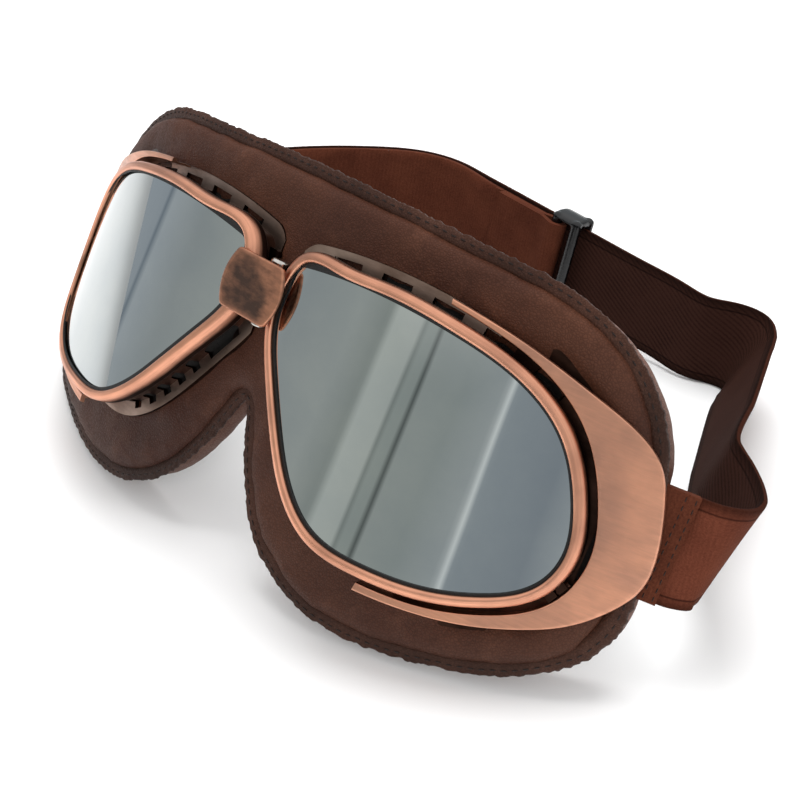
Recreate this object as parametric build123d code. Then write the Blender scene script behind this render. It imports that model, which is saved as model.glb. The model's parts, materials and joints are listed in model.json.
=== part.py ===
from build123d import *
import os
from math import acos, atan2, cos, hypot, radians, sin, sqrt

# Aviator flying goggles with a leather face pad, standing as they rest on a table.
# All sizes are millimetres and all angles are degrees.

# Lens and its opening
opening_width = 80.4
opening_height = 54.3
lens_curve = 99.0
lens_thick = 1.6
eye_offset = 48.7
face_wrap = 16.5
outline_steps = 32

# Bezel and gasket
bezel_band = 2.4
bezel_wall = 1.1
bezel_crown = 0.6
bezel_lip = 1.0
bezel_depth = 3.5
bezel_round = 1.6
bezel_back_round = 0.8
gasket_front = 0.4
gasket_back = 0.5
gasket_bite = 0.6
lens_bite = 0.9

# Clamp that closes the bezel at the temple
slit_width = 0.5
clamp_reach = 1.4
clamp_tall = 5.2
clamp_deep = 2.2
clamp_drop = 2.2
screw_radius = 0.45
screw_head_radius = 0.65
screw_head_thick = 0.6

# Eyecup
cup_wall = 1.0
flange_reach = 4.7
flange_thick = 1.0
ear_reach = 8.5
seat_curve = 161.75
seat_centre_across = 4.0
seat_centre_back = 166.1
vent_length = 7.8
short_vent_length = 2.6
long_vent_length = 11.0
vent_width = 2.6
vent_rise = 1.6

# Side wing
wing_curve = 125.0
wing_centre_across = 11.0
wing_centre_back = 122.2
wing_thick = 1.2
wing_gap = 1.8
stud_radius = 1.4
stud_reach = 6.4
weld_gap = 0.02

# Bridge hinge
pin_radius = 1.2
pin_clear = 0.06
pin_back = 1.0
pin_head_radius = 2.4
pin_head_thick = 1.4
pin_foot_radius = 1.8
pin_foot_thick = 0.8
knuckle_radius = 2.4
knuckle_gap = 0.2
hinge_low = 7.5
hinge_high = 21.3
leaf_thick = 1.3
leaf_reach = 9.0
leaf_rise = 2.6
leaf_round = 1.2
plate_width = 18.6
plate_end_width = 14.4
plate_low = 8.4
plate_high = 22.3
plate_thick = 1.2
plate_front = 5.8
plate_corner = 1.6
plate_bevel = 0.4
post_radius = 1.1

# Face pad
pad_curve = 192.0
pad_front = 6.5
pad_half_width = 96.0
pad_half_height = 45.0
pad_thick = 10.0
pad_crown = 2.8
pad_round = 4.0
pad_back_round = 3.0
cover_thick = 1.6
pad_hole_tuck = 0.5
nose_half_width = 3.0
soft_gap = 0.3
seam_reach = 1.4
seam_bite = 1.6
seam_thick = 1.8
rest_cut = 0.5

# Strap, slider and strap bars
strap_width = 24.5
strap_thick = 1.5
strap_angle = 36.0
strap_level = 1.0
bar_radius = 1.1
bar_slack = 0.15
bar_setback = 10.5
bar_leg = 9.0
bar_bend = 2.2
wing_edge = 97.0
loop_taper = 5.0
sewn_reach = 14.0
temple_reach = 100.0
loop_depth = 127.0
layer_gap = 0.7
slider_offset = 14.0
slider_length = 17.0
slider_rail = 2.6
slider_bar = 1.5
slider_end_bar = 2.4
slider_skin = 1.6
slider_clear = 0.4
slider_round = 0.6
tail_reach = 21.0

# Stance
lean = 31.2
cut_over = 60.0

# Outline of one lens opening, clockwise, as shares of its half width and half height
opening_shares = (
    (-0.94, 0.915),
    (-0.67, 0.975),
    (-0.38, 0.998),
    (0.10, 0.955),
    (0.45, 0.84),
    (0.73, 0.59),
    (0.93, 0.11),
    (0.985, -0.31),
    (0.92, -0.57),
    (0.70, -0.80),
    (0.40, -0.945),
    (0.06, -1.0),
    (-0.27, -0.955),
    (-0.51, -0.715),
    (-0.70, -0.36),
    (-0.885, 0.05),
    (-0.995, 0.37),
    (-1.0, 0.72),
)

# Places round the opening, as shares of its length from the upper nose corner
upper_vent_shares = (0.035, 0.095, 0.155, 0.215, 0.275)
lower_vent_shares = (0.727, 0.752, 0.777, 0.802, 0.827)
long_vent_share = 0.875
vent_corner_share = 0.3
stud_shares = (0.30, 0.535)
rim_round_share = 0.6
clamp_share = 0.470

# Outer edge of the wing, then its hidden return, as shares of the opening's half sizes
wing_shares = (
    (-0.04, 1.18),
    (0.37, 1.10),
    (0.84, 0.92),
    (1.08, 0.79),
    (1.20, 0.667),
    (1.285, 0.475),
    (1.335, 0.26),
    (1.38, -0.05),
    (1.375, -0.31),
    (1.287, -0.55),
    (1.10, -0.81),
    (0.93, -0.943),
    (0.643, -1.098),
    (0.33, -1.19),
    (0.04, -1.23),
    (-0.12, -1.175),
    (-0.30, -0.80),
    (-0.35, 0.0),
    (-0.28, 0.85),
)

# Right half of the pad outline from the top centre, as shares of the pad's half sizes
pad_shares = (
    (0.0, 0.973),
    (0.22, 0.964),
    (0.48, 0.942),
    (0.65, 0.915),
    (0.785, 0.813),
    (0.87, 0.66),
    (0.935, 0.44),
    (0.965, 0.16),
    (0.98, -0.13),
    (0.99, -0.36),
    (0.96, -0.57),
    (0.895, -0.72),
    (0.81, -0.835),
    (0.69, -0.925),
    (0.57, -0.99),
    (0.46, -1.018),
    (0.355, -1.005),
    (0.265, -0.938),
    (0.19, -0.838),
    (0.124, -0.678),
    (0.081, -0.522),
    (0.046, -0.367),
    (0.019, -0.245),
)
notch_share = -0.205

# Places along the strap: across, back and up, then the lean of its width out and back
right_run_shares = (
    (1.03, 0.290, 1.20, 0.10, 0.41),
    (1.033, 0.343, 1.08, 0.22, 0.39),
    (1.005, 0.394, 1.00, 0.28, 0.39),
    (0.959, 0.439, 0.955, 0.28, 0.38),
    (0.903, 0.479, 0.94, 0.26, 0.35),
    (0.846, 0.516, 0.935, 0.22, 0.30),
    (0.805, 0.565, 0.895, 0.26, 0.31),
    (0.740, 0.669, 0.796, 0.34, 0.34),
    (0.641, 0.825, 0.649, 0.38, 0.355),
)
corner_shares = (
    (0.576, 0.929, 0.547, 0.40, 0.365),
    (0.546, 0.982, 0.505, 0.37, 0.365),
    (0.504, 1.024, 0.490, 0.25, 0.32),
    (0.445, 1.025, 0.495, 0.12, 0.26),
)
straight_shares = (
    (0.37, 1.0, 0.515, 0.05, 0.2),
    (-0.53, 1.0, 0.845, 0.05, 0.2),
)
left_run_shares = (
    (-0.65, 0.975, 0.875, 0.04, 0.2),
    (-0.78, 0.895, 0.90, 0.02, 0.22),
    (-0.90, 0.775, 0.94, 0.0, 0.26),
    (-0.99, 0.630, 0.99, 0.0, 0.32),
    (-1.035, 0.480, 1.04, -0.02, 0.38),
    (-1.045, 0.370, 1.11, -0.05, 0.42),
)

wrap_sin = sin(radians(face_wrap))
wrap_cos = cos(radians(face_wrap))
lens_centre_across = eye_offset - lens_curve * wrap_sin
lens_centre_back = lens_curve * wrap_cos
pad_centre_back = pad_front + pad_curve
half_open = opening_width / 2
half_high = opening_height / 2
cup_grow = bezel_band - bezel_wall
tall = pad_half_height * 4
eye_frame = Plane(
    origin=(eye_offset, 0, 0),
    x_dir=(wrap_cos, wrap_sin, 0),
    z_dir=(wrap_sin, -wrap_cos, 0),
)


def closed_curve(points):
    return Edge.make_spline([Vector(*p) for p in points], periodic=True)


def scaled(shares):
    return [(x * half_open, y * half_high, 0) for x, y in shares]


# The opening's outline, moved outwards by a given distance
def opening_face(grow):
    edge = closed_curve(scaled(opening_shares))
    if grow:
        points = []
        for step in range(outline_steps):
            at = edge.position_at(step / outline_steps)
            along = edge.tangent_at(step / outline_steps)
            points.append(at + Vector(-along.Y, along.X) * grow)
        edge = closed_curve(points)
    return Face(Wire([edge]))


def prism(face, low, high):
    return extrude(Pos(0, 0, low) * face, high - low, dir=(0, 0, 1))


# An upright drum in the goggles' own frame
def drum(radius, across, back):
    return Pos(across, back, 0) * Cylinder(radius, tall)


def lens_drum(depth):
    return drum(lens_curve - depth, lens_centre_across, lens_centre_back)


def pad_drum(lift):
    return drum(pad_curve + lift, 0, pad_centre_back)


def wing_drum(depth):
    return drum(wing_curve - depth, wing_centre_across, wing_centre_back)


def seat_drum(lift):
    return drum(seat_curve + lift, seat_centre_across, seat_centre_back)


# How far along the lens axis the line at one place across meets a drum's front
def axis_depth(radius, across, back, place):
    px = eye_offset + place * wrap_cos - across
    py = place * wrap_sin - back
    b = px * wrap_sin - py * wrap_cos
    return -b + sqrt(b * b - px * px - py * py + radius * radius)


def on_eye(face):
    return eye_frame.location * prism(face, -cut_over, cut_over)


def ring(outer, inner):
    return on_eye(opening_face(outer) - opening_face(inner))


def slab(low, high):
    body = Box(high - low, tall, tall, align=(Align.MIN, Align.CENTER, Align.CENTER))
    return Pos(low, 0, 0) * body


def flipped(shape):
    return mirror(shape, about=Plane.YZ)


def biggest(shape):
    return max(shape.solids(), key=lambda solid: solid.volume)


def make_lens():
    body = on_eye(opening_face(lens_bite))
    front = bezel_lip - bezel_crown + gasket_front
    return biggest(body & lens_drum(front) - lens_drum(front + lens_thick))


def make_gasket():
    front = bezel_lip - bezel_crown
    back = front + gasket_front + lens_thick + gasket_back
    body = ring(cup_grow, -gasket_bite) & lens_drum(front) - lens_drum(back)
    return biggest(body - make_lens())


def cup_start():
    return bezel_lip - bezel_crown + gasket_front + lens_thick + gasket_back


def radial_place(edge):
    middle = edge.position_at(0.5)
    return hypot(middle.X - lens_centre_across, middle.Y - lens_centre_back)


# A place beside the opening, at one share of its length, and the way outwards
def edge_place(share, grow):
    edge = closed_curve(scaled(opening_shares))
    along = edge.tangent_at(share)
    outward = Vector(-along.Y, along.X)
    return edge.position_at(share) + outward * grow, outward


def edge_plane(share, grow, radius, across, back):
    at, outward = edge_place(share, grow)
    depth = axis_depth(radius, across, back, at.X)
    return Plane(origin=(at.X, at.Y, depth), x_dir=outward, z_dir=(0, 0, 1))


def clamp_plane(grow):
    radius = lens_curve - clamp_drop
    return edge_plane(clamp_share, grow, radius, lens_centre_across, lens_centre_back)


def make_bezel():
    front = -bezel_crown
    body = ring(bezel_band, 0) & lens_drum(front) - lens_drum(bezel_depth)
    body -= on_eye(opening_face(cup_grow)) & lens_drum(front + bezel_lip)
    body = biggest(body)
    fronts = [e for e in body.edges() if radial_place(e) > lens_curve]
    fronts.sort(key=lambda e: e.length)
    body = body.fillet(bezel_round, [fronts[-1]])
    backs = sorted(body.edges(), key=radial_place)[:2]
    backs.sort(key=lambda e: e.length)
    body = body.fillet(bezel_back_round, [backs[-1]])
    slit = Box(bezel_band * 3, slit_width, bezel_depth * 4)
    return biggest(body - eye_frame.location * clamp_plane(0).location * slit)


# Two lugs on the bezel's temple side with a screw that draws them together
def make_clamp():
    place = eye_frame.location * clamp_plane(bezel_band).location
    lugs = Box(clamp_reach * 2, clamp_tall, clamp_deep)
    lugs -= Box(clamp_reach * 2, slit_width, clamp_deep)
    lugs -= clamp_rod(screw_radius + weld_gap, clamp_tall)
    lugs = place * lugs - on_eye(opening_face(bezel_band))
    screw = clamp_rod(screw_radius, clamp_tall)
    head = clamp_rod(screw_head_radius, screw_head_thick)
    screw += Pos(0, (clamp_tall + screw_head_thick) / 2, 0) * head
    return Compound(children=lugs.solids()), biggest(place * screw)


def clamp_rod(radius, length):
    return Pos(clamp_reach / 2, 0, 0) * Cylinder(radius, length, rotation=(90, 0, 0))


# Vents: slots through the corner between the eyecup's wall and its flange
def vent_cutters():
    rows = [(share, vent_length) for share in upper_vent_shares]
    rows += [(share, short_vent_length) for share in lower_vent_shares]
    rows.append((long_vent_share, long_vent_length))
    cutters = []
    for share, length in rows:
        low = edge_plane(
            share,
            cup_grow - cup_wall,
            seat_curve,
            seat_centre_across,
            seat_centre_back,
        )
        height = flange_thick * 2 + vent_rise
        slot = Box(vent_width * 2, length, height)
        corners = slot.edges().filter_by(Axis.X)
        slot = fillet(corners, min(length, height) * vent_corner_share)
        cutters.append(low.location * Pos(0, 0, height / 2 - flange_thick / 2) * slot)
    return cutters


def strap_corridor(margin):
    along, out, bar = strap_axes()
    wide = strap_width + margin * 2
    reach = cut_over
    depth = bar_radius + bar_slack + strap_thick + soft_gap
    block = Box(reach, reach, wide, align=(Align.MIN, Align.MIN, Align.CENTER))
    place = Plane(
        origin=bar - along * (depth + margin / 2) - out * depth,
        x_dir=along,
        z_dir=(0, 0, -1),
    )
    return place.location * block


def make_cup():
    wall = ring(cup_grow, cup_grow - cup_wall) & lens_drum(cup_start())
    flange = ring(flange_reach, cup_grow - cup_wall) & seat_drum(flange_thick)
    ear = ring(ear_reach, cup_grow) & seat_drum(flange_thick)
    ear &= eye_frame.location * slab(half_open / 2, tall)
    plate = flange + ear - strap_corridor(bar_radius)
    body = biggest((wall + plate - seat_drum(0)) & slab(nose_half_width + soft_gap, tall))
    for cutter in vent_cutters():
        body -= eye_frame.location * cutter
    return biggest(body)


def make_wing():
    face = Face(Wire([closed_curve(scaled(wing_shares))]))
    face -= opening_face(bezel_band + wing_gap)
    body = on_eye(face) & wing_drum(0)
    body = biggest(body - wing_drum(wing_thick))
    return body


# Studs that carry the wing on the eyecup's ear, above and below the strap
def make_studs():
    studs = []
    for share in stud_shares:
        at, _ = edge_place(share, stud_reach)
        post = Pos(at.X, at.Y, 0) * Circle(stud_radius)
        post = on_eye(post.face()) & wing_drum(wing_thick)
        post -= seat_drum(flange_thick + weld_gap)
        studs.append(biggest(post))
    return Compound(children=studs)


# Directions of the strap where it leaves the wing, and the centre of its bar
def strap_axes():
    along = Vector(cos(radians(strap_angle)), sin(radians(strap_angle)), 0)
    out = Vector(along.Y, -along.X, 0)
    inner = wing_curve - wing_thick
    edge_back = wing_centre_back - sqrt(inner**2 - (wing_edge - wing_centre_across) ** 2)
    lift = bar_radius + bar_slack + strap_thick + soft_gap
    bar = Vector(wing_edge, edge_back, strap_level) - along * bar_setback - out * lift
    return along, out, bar


def bar_rod(radius):
    along, out, bar = strap_axes()
    half = strap_width / 2 + bar_radius * 2
    up = Vector(0, 0, half)
    inward = along * -bar_leg
    path = FilletPolyline(
        bar + inward + up, bar + up, bar - up, bar + inward - up, radius=bar_bend
    )
    section = Plane(origin=path @ 0, z_dir=path % 0) * Circle(radius)
    return biggest(sweep(section, path))


def make_bar(cup):
    return biggest(bar_rod(bar_radius) - cup)


# Section of a strap end folded round a bar and sewn flat on itself
def loop_face(around, reach):
    inner = around + bar_slack
    outer = inner + strap_thick
    hole_turn = acos(inner / loop_taper)
    corner = hypot(loop_taper, strap_thick)
    outer_turn = atan2(strap_thick, loop_taper) + acos(outer / corner)
    hole = Circle(inner) + make_face(
        Polyline(
            (loop_taper, 0),
            (inner * cos(hole_turn), inner * sin(hole_turn)),
            (inner * cos(hole_turn), -inner * sin(hole_turn)),
            close=True,
        )
    )
    body = Circle(outer) + make_face(
        Polyline(
            (outer * cos(outer_turn), outer * sin(outer_turn)),
            (loop_taper, strap_thick),
            (reach, strap_thick),
            (reach, -strap_thick),
            (loop_taper, -strap_thick),
            (outer * cos(outer_turn), -outer * sin(outer_turn)),
            close=True,
        )
    )
    return (body - hole).face()


def make_strap_end():
    along, out, bar = strap_axes()
    face = loop_face(bar_radius, sewn_reach)
    solid = extrude(face, strap_width / 2, both=True)
    return Plane(origin=bar, x_dir=along, z_dir=(0, 0, -1)).location * solid


# Hinge between the two eyecups: left outer knuckles, right middle knuckle
def knuckle_levels():
    third = (hinge_high - hinge_low) / 3
    return hinge_low + third, hinge_high - third


def upright(radius, low, high):
    place = Pos(0, pin_back, low)
    align = (Align.CENTER, Align.CENTER, Align.MIN)
    return place * Cylinder(radius, high - low, align=align)


def leaf(low, high):
    align = (Align.MIN, Align.MAX, Align.MIN)
    plate = Box(leaf_reach, leaf_thick, high - low, align=align)
    return Pos(0, pin_back + knuckle_radius, low) * plate


# The tall part of a leaf, clear of the knuckles and the pin's head
def leaf_wing():
    start = pin_head_radius + knuckle_gap
    plate = leaf(hinge_low, hinge_high + leaf_rise) & slab(start, leaf_reach)
    top = plate.edges().filter_by(Axis.Y).group_by(Axis.Z)[-1]
    return biggest(plate.fillet(leaf_round, top.sort_by(Axis.X)[:1]))


def make_hinges(bezel, cup, mirrored_bezel, mirrored_cup):
    low, high = knuckle_levels()
    bore = pin_radius + pin_clear
    right = upright(knuckle_radius, low + knuckle_gap, high - knuckle_gap)
    right += leaf(low + knuckle_gap, high - knuckle_gap) + leaf_wing()
    right -= upright(bore, hinge_low, hinge_high)
    right = biggest(right - bezel - cup)
    left = upright(knuckle_radius, hinge_low, low)
    left += upright(knuckle_radius, high, hinge_high)
    left += flipped(leaf(hinge_low, hinge_high) + leaf_wing())
    clear = knuckle_radius + knuckle_gap
    left -= upright(clear, low, high)
    left -= upright(pin_radius, hinge_low, hinge_high)
    left = biggest(left - mirrored_bezel - mirrored_cup)
    return left, right


def make_pin():
    foot = hinge_low - pin_foot_thick
    pin = upright(pin_radius, foot, hinge_high + pin_head_thick)
    pin += upright(pin_head_radius, hinge_high, hinge_high + pin_head_thick)
    pin += upright(pin_foot_radius, foot, hinge_low)
    rims = pin.edges().filter_by(GeomType.CIRCLE).group_by(Axis.Z)
    pin = pin.fillet(pin_head_thick * rim_round_share, rims[-1])
    return biggest(pin.fillet(pin_foot_thick * rim_round_share, rims[0]))


def make_plate():
    half = plate_width / 2
    end = plate_end_width / 2
    middle = (plate_low + plate_high) / 2
    outline = make_face(
        [
            Line((-end, plate_high), (end, plate_high)),
            ThreePointArc((end, plate_high), (half, middle), (end, plate_low)),
            Line((end, plate_low), (-end, plate_low)),
            ThreePointArc((-end, plate_low), (-half, middle), (-end, plate_high)),
        ]
    )
    outline = fillet(outline.vertices(), plate_corner)
    body = extrude(outline, plate_thick, dir=(0, 0, 1))
    body = chamfer(body.edges().group_by(Axis.Z)[-1], plate_bevel)
    place = Plane(
        origin=(0, plate_thick - plate_front, 0), x_dir=(1, 0, 0), z_dir=(0, -1, 0)
    )
    return biggest(place.location * body)


def make_posts(left_hinge):
    low, high = knuckle_levels()
    posts = []
    back = plate_thick - plate_front
    for level in ((hinge_low + low) / 2, (hinge_high + high) / 2):
        post = Cylinder(post_radius, pin_back - back, rotation=(90, 0, 0))
        place = Pos(-post_radius / 2, (pin_back + back) / 2, level)
        posts.append(biggest(place * post - left_hinge - upright(pin_radius, 0, tall)))
    return Compound(children=posts)


# Pad: outline in the upright plane, pushed back between two drums
def pad_face(inset):
    right = [(x * pad_half_width, y * pad_half_height) for x, y in pad_shares]
    left = [(-x, y) for x, y in reversed(right[1:])]
    apex = [(0, notch_share * pad_half_height)]
    edge = closed_curve([(x, y, 0) for x, y in right + apex + left])
    if inset:
        points = []
        steps = outline_steps * 2
        for step in range(steps):
            at = edge.position_at(step / steps)
            along = edge.tangent_at(step / steps)
            points.append(at + Vector(along.Y, -along.X) * inset)
        edge = closed_curve(points)
    return Face(Wire([edge]))


# Eye hole of the pad: the lens opening as it falls on the pad's front
def hole_face(grow):
    edge = closed_curve(scaled(opening_shares))
    points = []
    for step in range(outline_steps):
        at = edge.position_at(step / outline_steps)
        along = edge.tangent_at(step / outline_steps)
        at += Vector(-along.Y, along.X) * grow
        depth = axis_depth(pad_curve, 0, pad_centre_back, at.X)
        points.append((eye_offset + at.X * wrap_cos + depth * wrap_sin, at.Y, 0))
    return Face(Wire([closed_curve(points)]))


def upright_prism(face):
    body = extrude(Pos(0, 0, -tall / 2) * face, tall, dir=(0, 0, 1))
    return Rot(90, 0, 0) * body


def make_pad_form():
    body = upright_prism(pad_face(0)) & pad_drum(pad_crown)
    body = biggest(body - pad_drum(-pad_thick))
    outer = sorted(body.edges(), key=lambda e: e.length)[-2:]
    outer.sort(key=lambda e: e.center().Y)
    body = body.fillet(pad_back_round, [outer[-1]])
    outer = sorted(body.edges(), key=lambda e: e.center().Y)
    outer = [e for e in outer if e.length > pad_half_width * 4]
    return biggest(body.fillet(pad_round, [outer[0]]))


# The right part of the pad with its eye hole, flange seat and strap dent
def pad_side(form):
    split = nose_half_width + soft_gap
    body = form & slab(split, tall)
    body &= wing_drum(wing_thick + soft_gap)
    body -= upright_prism(hole_face(-pad_hole_tuck))
    ear = on_eye(opening_face(ear_reach))
    ear &= eye_frame.location * slab(half_open / 2, tall)
    body -= on_eye(opening_face(flange_reach)) - seat_drum(0)
    body -= ear - seat_drum(0)
    body -= bar_rod(bar_radius + soft_gap)
    return biggest(body - strap_corridor(bar_radius))


def make_seam():
    ring_body = upright_prism(pad_face(-seam_reach) - pad_face(seam_bite))
    ring_body &= pad_drum(seam_thick / 2)
    ring_body -= pad_drum(-seam_thick / 2)
    return biggest(ring_body)


def make_pads():
    form = make_pad_form()
    seam = make_seam()
    split = nose_half_width + soft_gap
    right_seam = seam & slab(split, tall) & wing_drum(wing_thick + soft_gap)
    right_seam -= strap_corridor(bar_radius)
    side = biggest(pad_side(form) - right_seam)
    nose_seam = seam & slab(-nose_half_width, nose_half_width)
    nose = form & slab(-nose_half_width, nose_half_width)
    return {
        "right_pad_leather": biggest(side - pad_drum(-cover_thick)),
        "right_pad_foam": biggest(side & pad_drum(-cover_thick)),
        "right_pad_seam": Compound(children=right_seam.solids()),
        "nose_seam": Compound(children=nose_seam.solids()),
        "nose_pad": biggest(nose - nose_seam),
    }


# Strap runs, placed in the leaned stance
def leaned(vector):
    turn = radians(lean)
    back = vector.Y * cos(turn) + vector.Z * sin(turn)
    up = vector.Z * cos(turn) - vector.Y * sin(turn)
    return Vector(vector.X, back, up)


def strap_place(share_row):
    across, back, up, tip_across, tip_back = share_row
    at = Vector(across * temple_reach, back * loop_depth, up * strap_width)
    rise = sqrt(1 - tip_across * tip_across - tip_back * tip_back)
    return at, Vector(tip_across, tip_back, rise)


def loop_end(side, layer, lift):
    along, out, bar = strap_axes()
    at = bar + along * (sewn_reach + soft_gap) + out * (layer * strap_thick / 2)
    at = leaned(Vector(at.X * side, at.Y, at.Z)) + Vector(0, 0, lift)
    away = leaned(Vector(along.X * side, along.Y, along.Z))
    return at, leaned(Vector(0, 0, 1)), away


# A flat ribbon through upright stations, closed from its four long edges
def strap_run(places, first, last, shifts):
    corners = []
    for side, layer in ((-1, -1), (1, -1), (1, 1), (-1, 1)):
        points = []
        for step, (at, wide) in enumerate(places):
            if step == 0:
                ahead = first
            elif step == len(places) - 1:
                ahead = last
            else:
                ahead = places[step + 1][0] - places[step - 1][0]
            inward = wide.cross(ahead).normalized()
            reach = wide.normalized() * (side * strap_width / 2)
            points.append(at + reach + inward * (shifts[step] + layer * strap_thick / 2))
        ends = (first.normalized(), last.normalized())
        corners.append(Edge.make_spline(points, tangents=ends, scale=False))
    faces = []
    for edge, other in zip(corners, corners[1:] + corners[:1]):
        faces.append(Face.make_surface_from_curves(edge, other))
    for place in (0, 1):
        faces.append(Face(Wire.make_polygon([edge @ place for edge in corners])))
    return biggest(Solid(Shell(faces)))


def straight_frame():
    start, wide = strap_place(straight_shares[0])
    end, _ = strap_place(straight_shares[1])
    ahead = (end - start).normalized()
    wide -= ahead * wide.dot(ahead)
    return start, end, wide.normalized(), ahead


def make_straps(lift):
    start, end, wide, ahead = straight_frame()
    right_at, right_wide, right_away = loop_end(1, -1, lift)
    right = [(right_at, right_wide)] + [strap_place(row) for row in right_run_shares]
    corner = [strap_place(row) for row in (right_run_shares[-1],) + corner_shares]
    corner.append((start, wide))
    join = corner[1][0] - right[-2][0]
    left = [(end, wide)] + [strap_place(row) for row in left_run_shares]
    left_at, left_wide, left_away = loop_end(-1, 1, lift)
    left.append((left_at, left_wide))
    back_at, back_wide, back_away = loop_end(-1, -1, lift)
    parted = strap_thick + layer_gap
    spread = slider_spread() - strap_thick / 2
    tail_end = slider_point() + ahead * (tail_reach + soft_gap)
    inner = [(tail_end, wide), ((tail_end + end) / 2, wide)] + left[:-1]
    inner.append((back_at, back_wide))
    shifts = [spread, (spread + parted) / 2] + [parted] * (len(left) - 1) + [0]
    flat = [0] * (len(right) + len(left))
    return {
        "strap_right": strap_run(right, right_away, join, flat),
        "strap_corner": strap_run(corner, join, ahead, flat),
        "strap_back": strap_run([(start, wide), (end, wide)], ahead, ahead, flat),
        "strap_left": strap_run(left, ahead, left_away * -1, flat),
        "strap_return": strap_run(inner, ahead, back_away * -1, shifts),
    }


def slider_point():
    start, end, _, ahead = straight_frame()
    return start + ahead * ((start.X + slider_offset) / -ahead.X)


# Height of the middle bar above the strap's middle, on the head side
def slider_spread():
    return strap_thick / 2 + soft_gap + strap_thick + bar_slack + slider_bar


def slider_plane():
    _, _, wide, ahead = straight_frame()
    inward = wide.cross(ahead).normalized()
    return Plane(origin=slider_point(), x_dir=ahead, z_dir=ahead.cross(inward))


def make_slider():
    outer = strap_thick / 2 + soft_gap + slider_skin
    inner = slider_spread() + slider_bar
    half = strap_width / 2 + slider_clear
    rail = Box(slider_length, outer + inner, slider_rail)
    rail = fillet(rail.edges(), slider_round)
    rail = Pos(0, (inner - outer) / 2, half + slider_rail / 2) * rail
    end_bar = Box(slider_end_bar, slider_skin, half * 2 + slider_rail)
    end_bar = fillet(end_bar.edges().filter_by(Axis.Z), slider_round)
    place = (slider_length - slider_end_bar) / 2
    end_bar = Pos(place, slider_skin / 2 - outer, 0) * end_bar
    middle = Pos(0, slider_spread(), 0) * Cylinder(slider_bar, half * 2 + slider_rail)
    body = rail + mirror(rail, about=Plane.XY) + end_bar
    body += mirror(end_bar, about=Plane.YZ) + middle
    tail = extrude(loop_face(slider_bar, tail_reach), strap_width / 2, both=True)
    tail = Pos(0, slider_spread(), 0) * tail
    place = slider_plane().location
    return biggest(place * body), biggest(place * tail)


def make_eyecup_side():
    cup = make_cup()
    clamp, screw = make_clamp()
    return {
        "rim_clamp": clamp,
        "rim_screw": screw,
        "lens": make_lens(),
        "gasket": make_gasket(),
        "bezel": make_bezel(),
        "eyecup": cup,
        "wing": make_wing(),
        "wing_studs": make_studs(),
        "strap_bar": make_bar(cup),
        "strap_end": make_strap_end(),
    }


def make_goggles():
    nodes = {}
    side = make_eyecup_side()
    pads = make_pads()
    for name, shape in side.items():
        nodes["right_" + name] = shape
        nodes["left_" + name] = flipped(shape)
    for name, shape in pads.items():
        nodes[name] = shape
        if name.startswith("right"):
            nodes[name.replace("right", "left")] = flipped(shape)
    nodes["hinge_left"], nodes["hinge_right"] = make_hinges(
        side["bezel"], side["eyecup"], nodes["left_bezel"], nodes["left_eyecup"]
    )
    nodes["hinge_pin"] = make_pin()
    nodes["bridge_plate"] = make_plate()
    nodes["bridge_posts"] = make_posts(nodes["hinge_left"])
    return nodes


# The pad's lowest edge is pressed flat where it rests on the table
def stand(nodes):
    turned = {name: Rot(-lean, 0, 0) * shape for name, shape in nodes.items()}
    low = turned["right_pad_foam"].bounding_box().min.Z
    low += rest_cut
    placed = {name: Pos(0, 0, -low) * shape for name, shape in turned.items()}
    table = Box(tall, tall, tall, align=(Align.CENTER, Align.CENTER, Align.MAX))
    for name in ("right_pad_foam", "left_pad_foam"):
        placed[name] = biggest(placed[name] - table)
    return placed, -low


def write_nodes(nodes):
    os.makedirs("parts", exist_ok=True)
    boxes = [shape.bounding_box() for shape in nodes.values()]
    low = [min(box.min.X for box in boxes), min(box.min.Y for box in boxes)]
    high = [max(box.max.X for box in boxes), max(box.max.Y for box in boxes)]
    floor = min(box.min.Z for box in boxes)
    shift = Vector(-(low[0] + high[0]) / 2, -(low[1] + high[1]) / 2, -floor)
    for name, shape in nodes.items():
        export_step(Pos(shift) * shape, f"parts/{name}.step")
    print("shift", shift)
    print("size", high[0] - low[0], high[1] - low[1])


def main():
    nodes, lift = stand(make_goggles())
    nodes.update(make_straps(lift))
    nodes["slider_frame"], nodes["strap_tail"] = make_slider()
    print("lift", lift)
    for name, shape in nodes.items():
        print(name, shape.is_valid, round(shape.volume, 1))
    write_nodes(nodes)


if __name__ == "__main__":
    main()
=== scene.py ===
# Aviator flying goggles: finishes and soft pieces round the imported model
import json
import math

import bmesh
import bpy
import numpy as np
from mathutils import Matrix, Vector, noise


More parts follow.
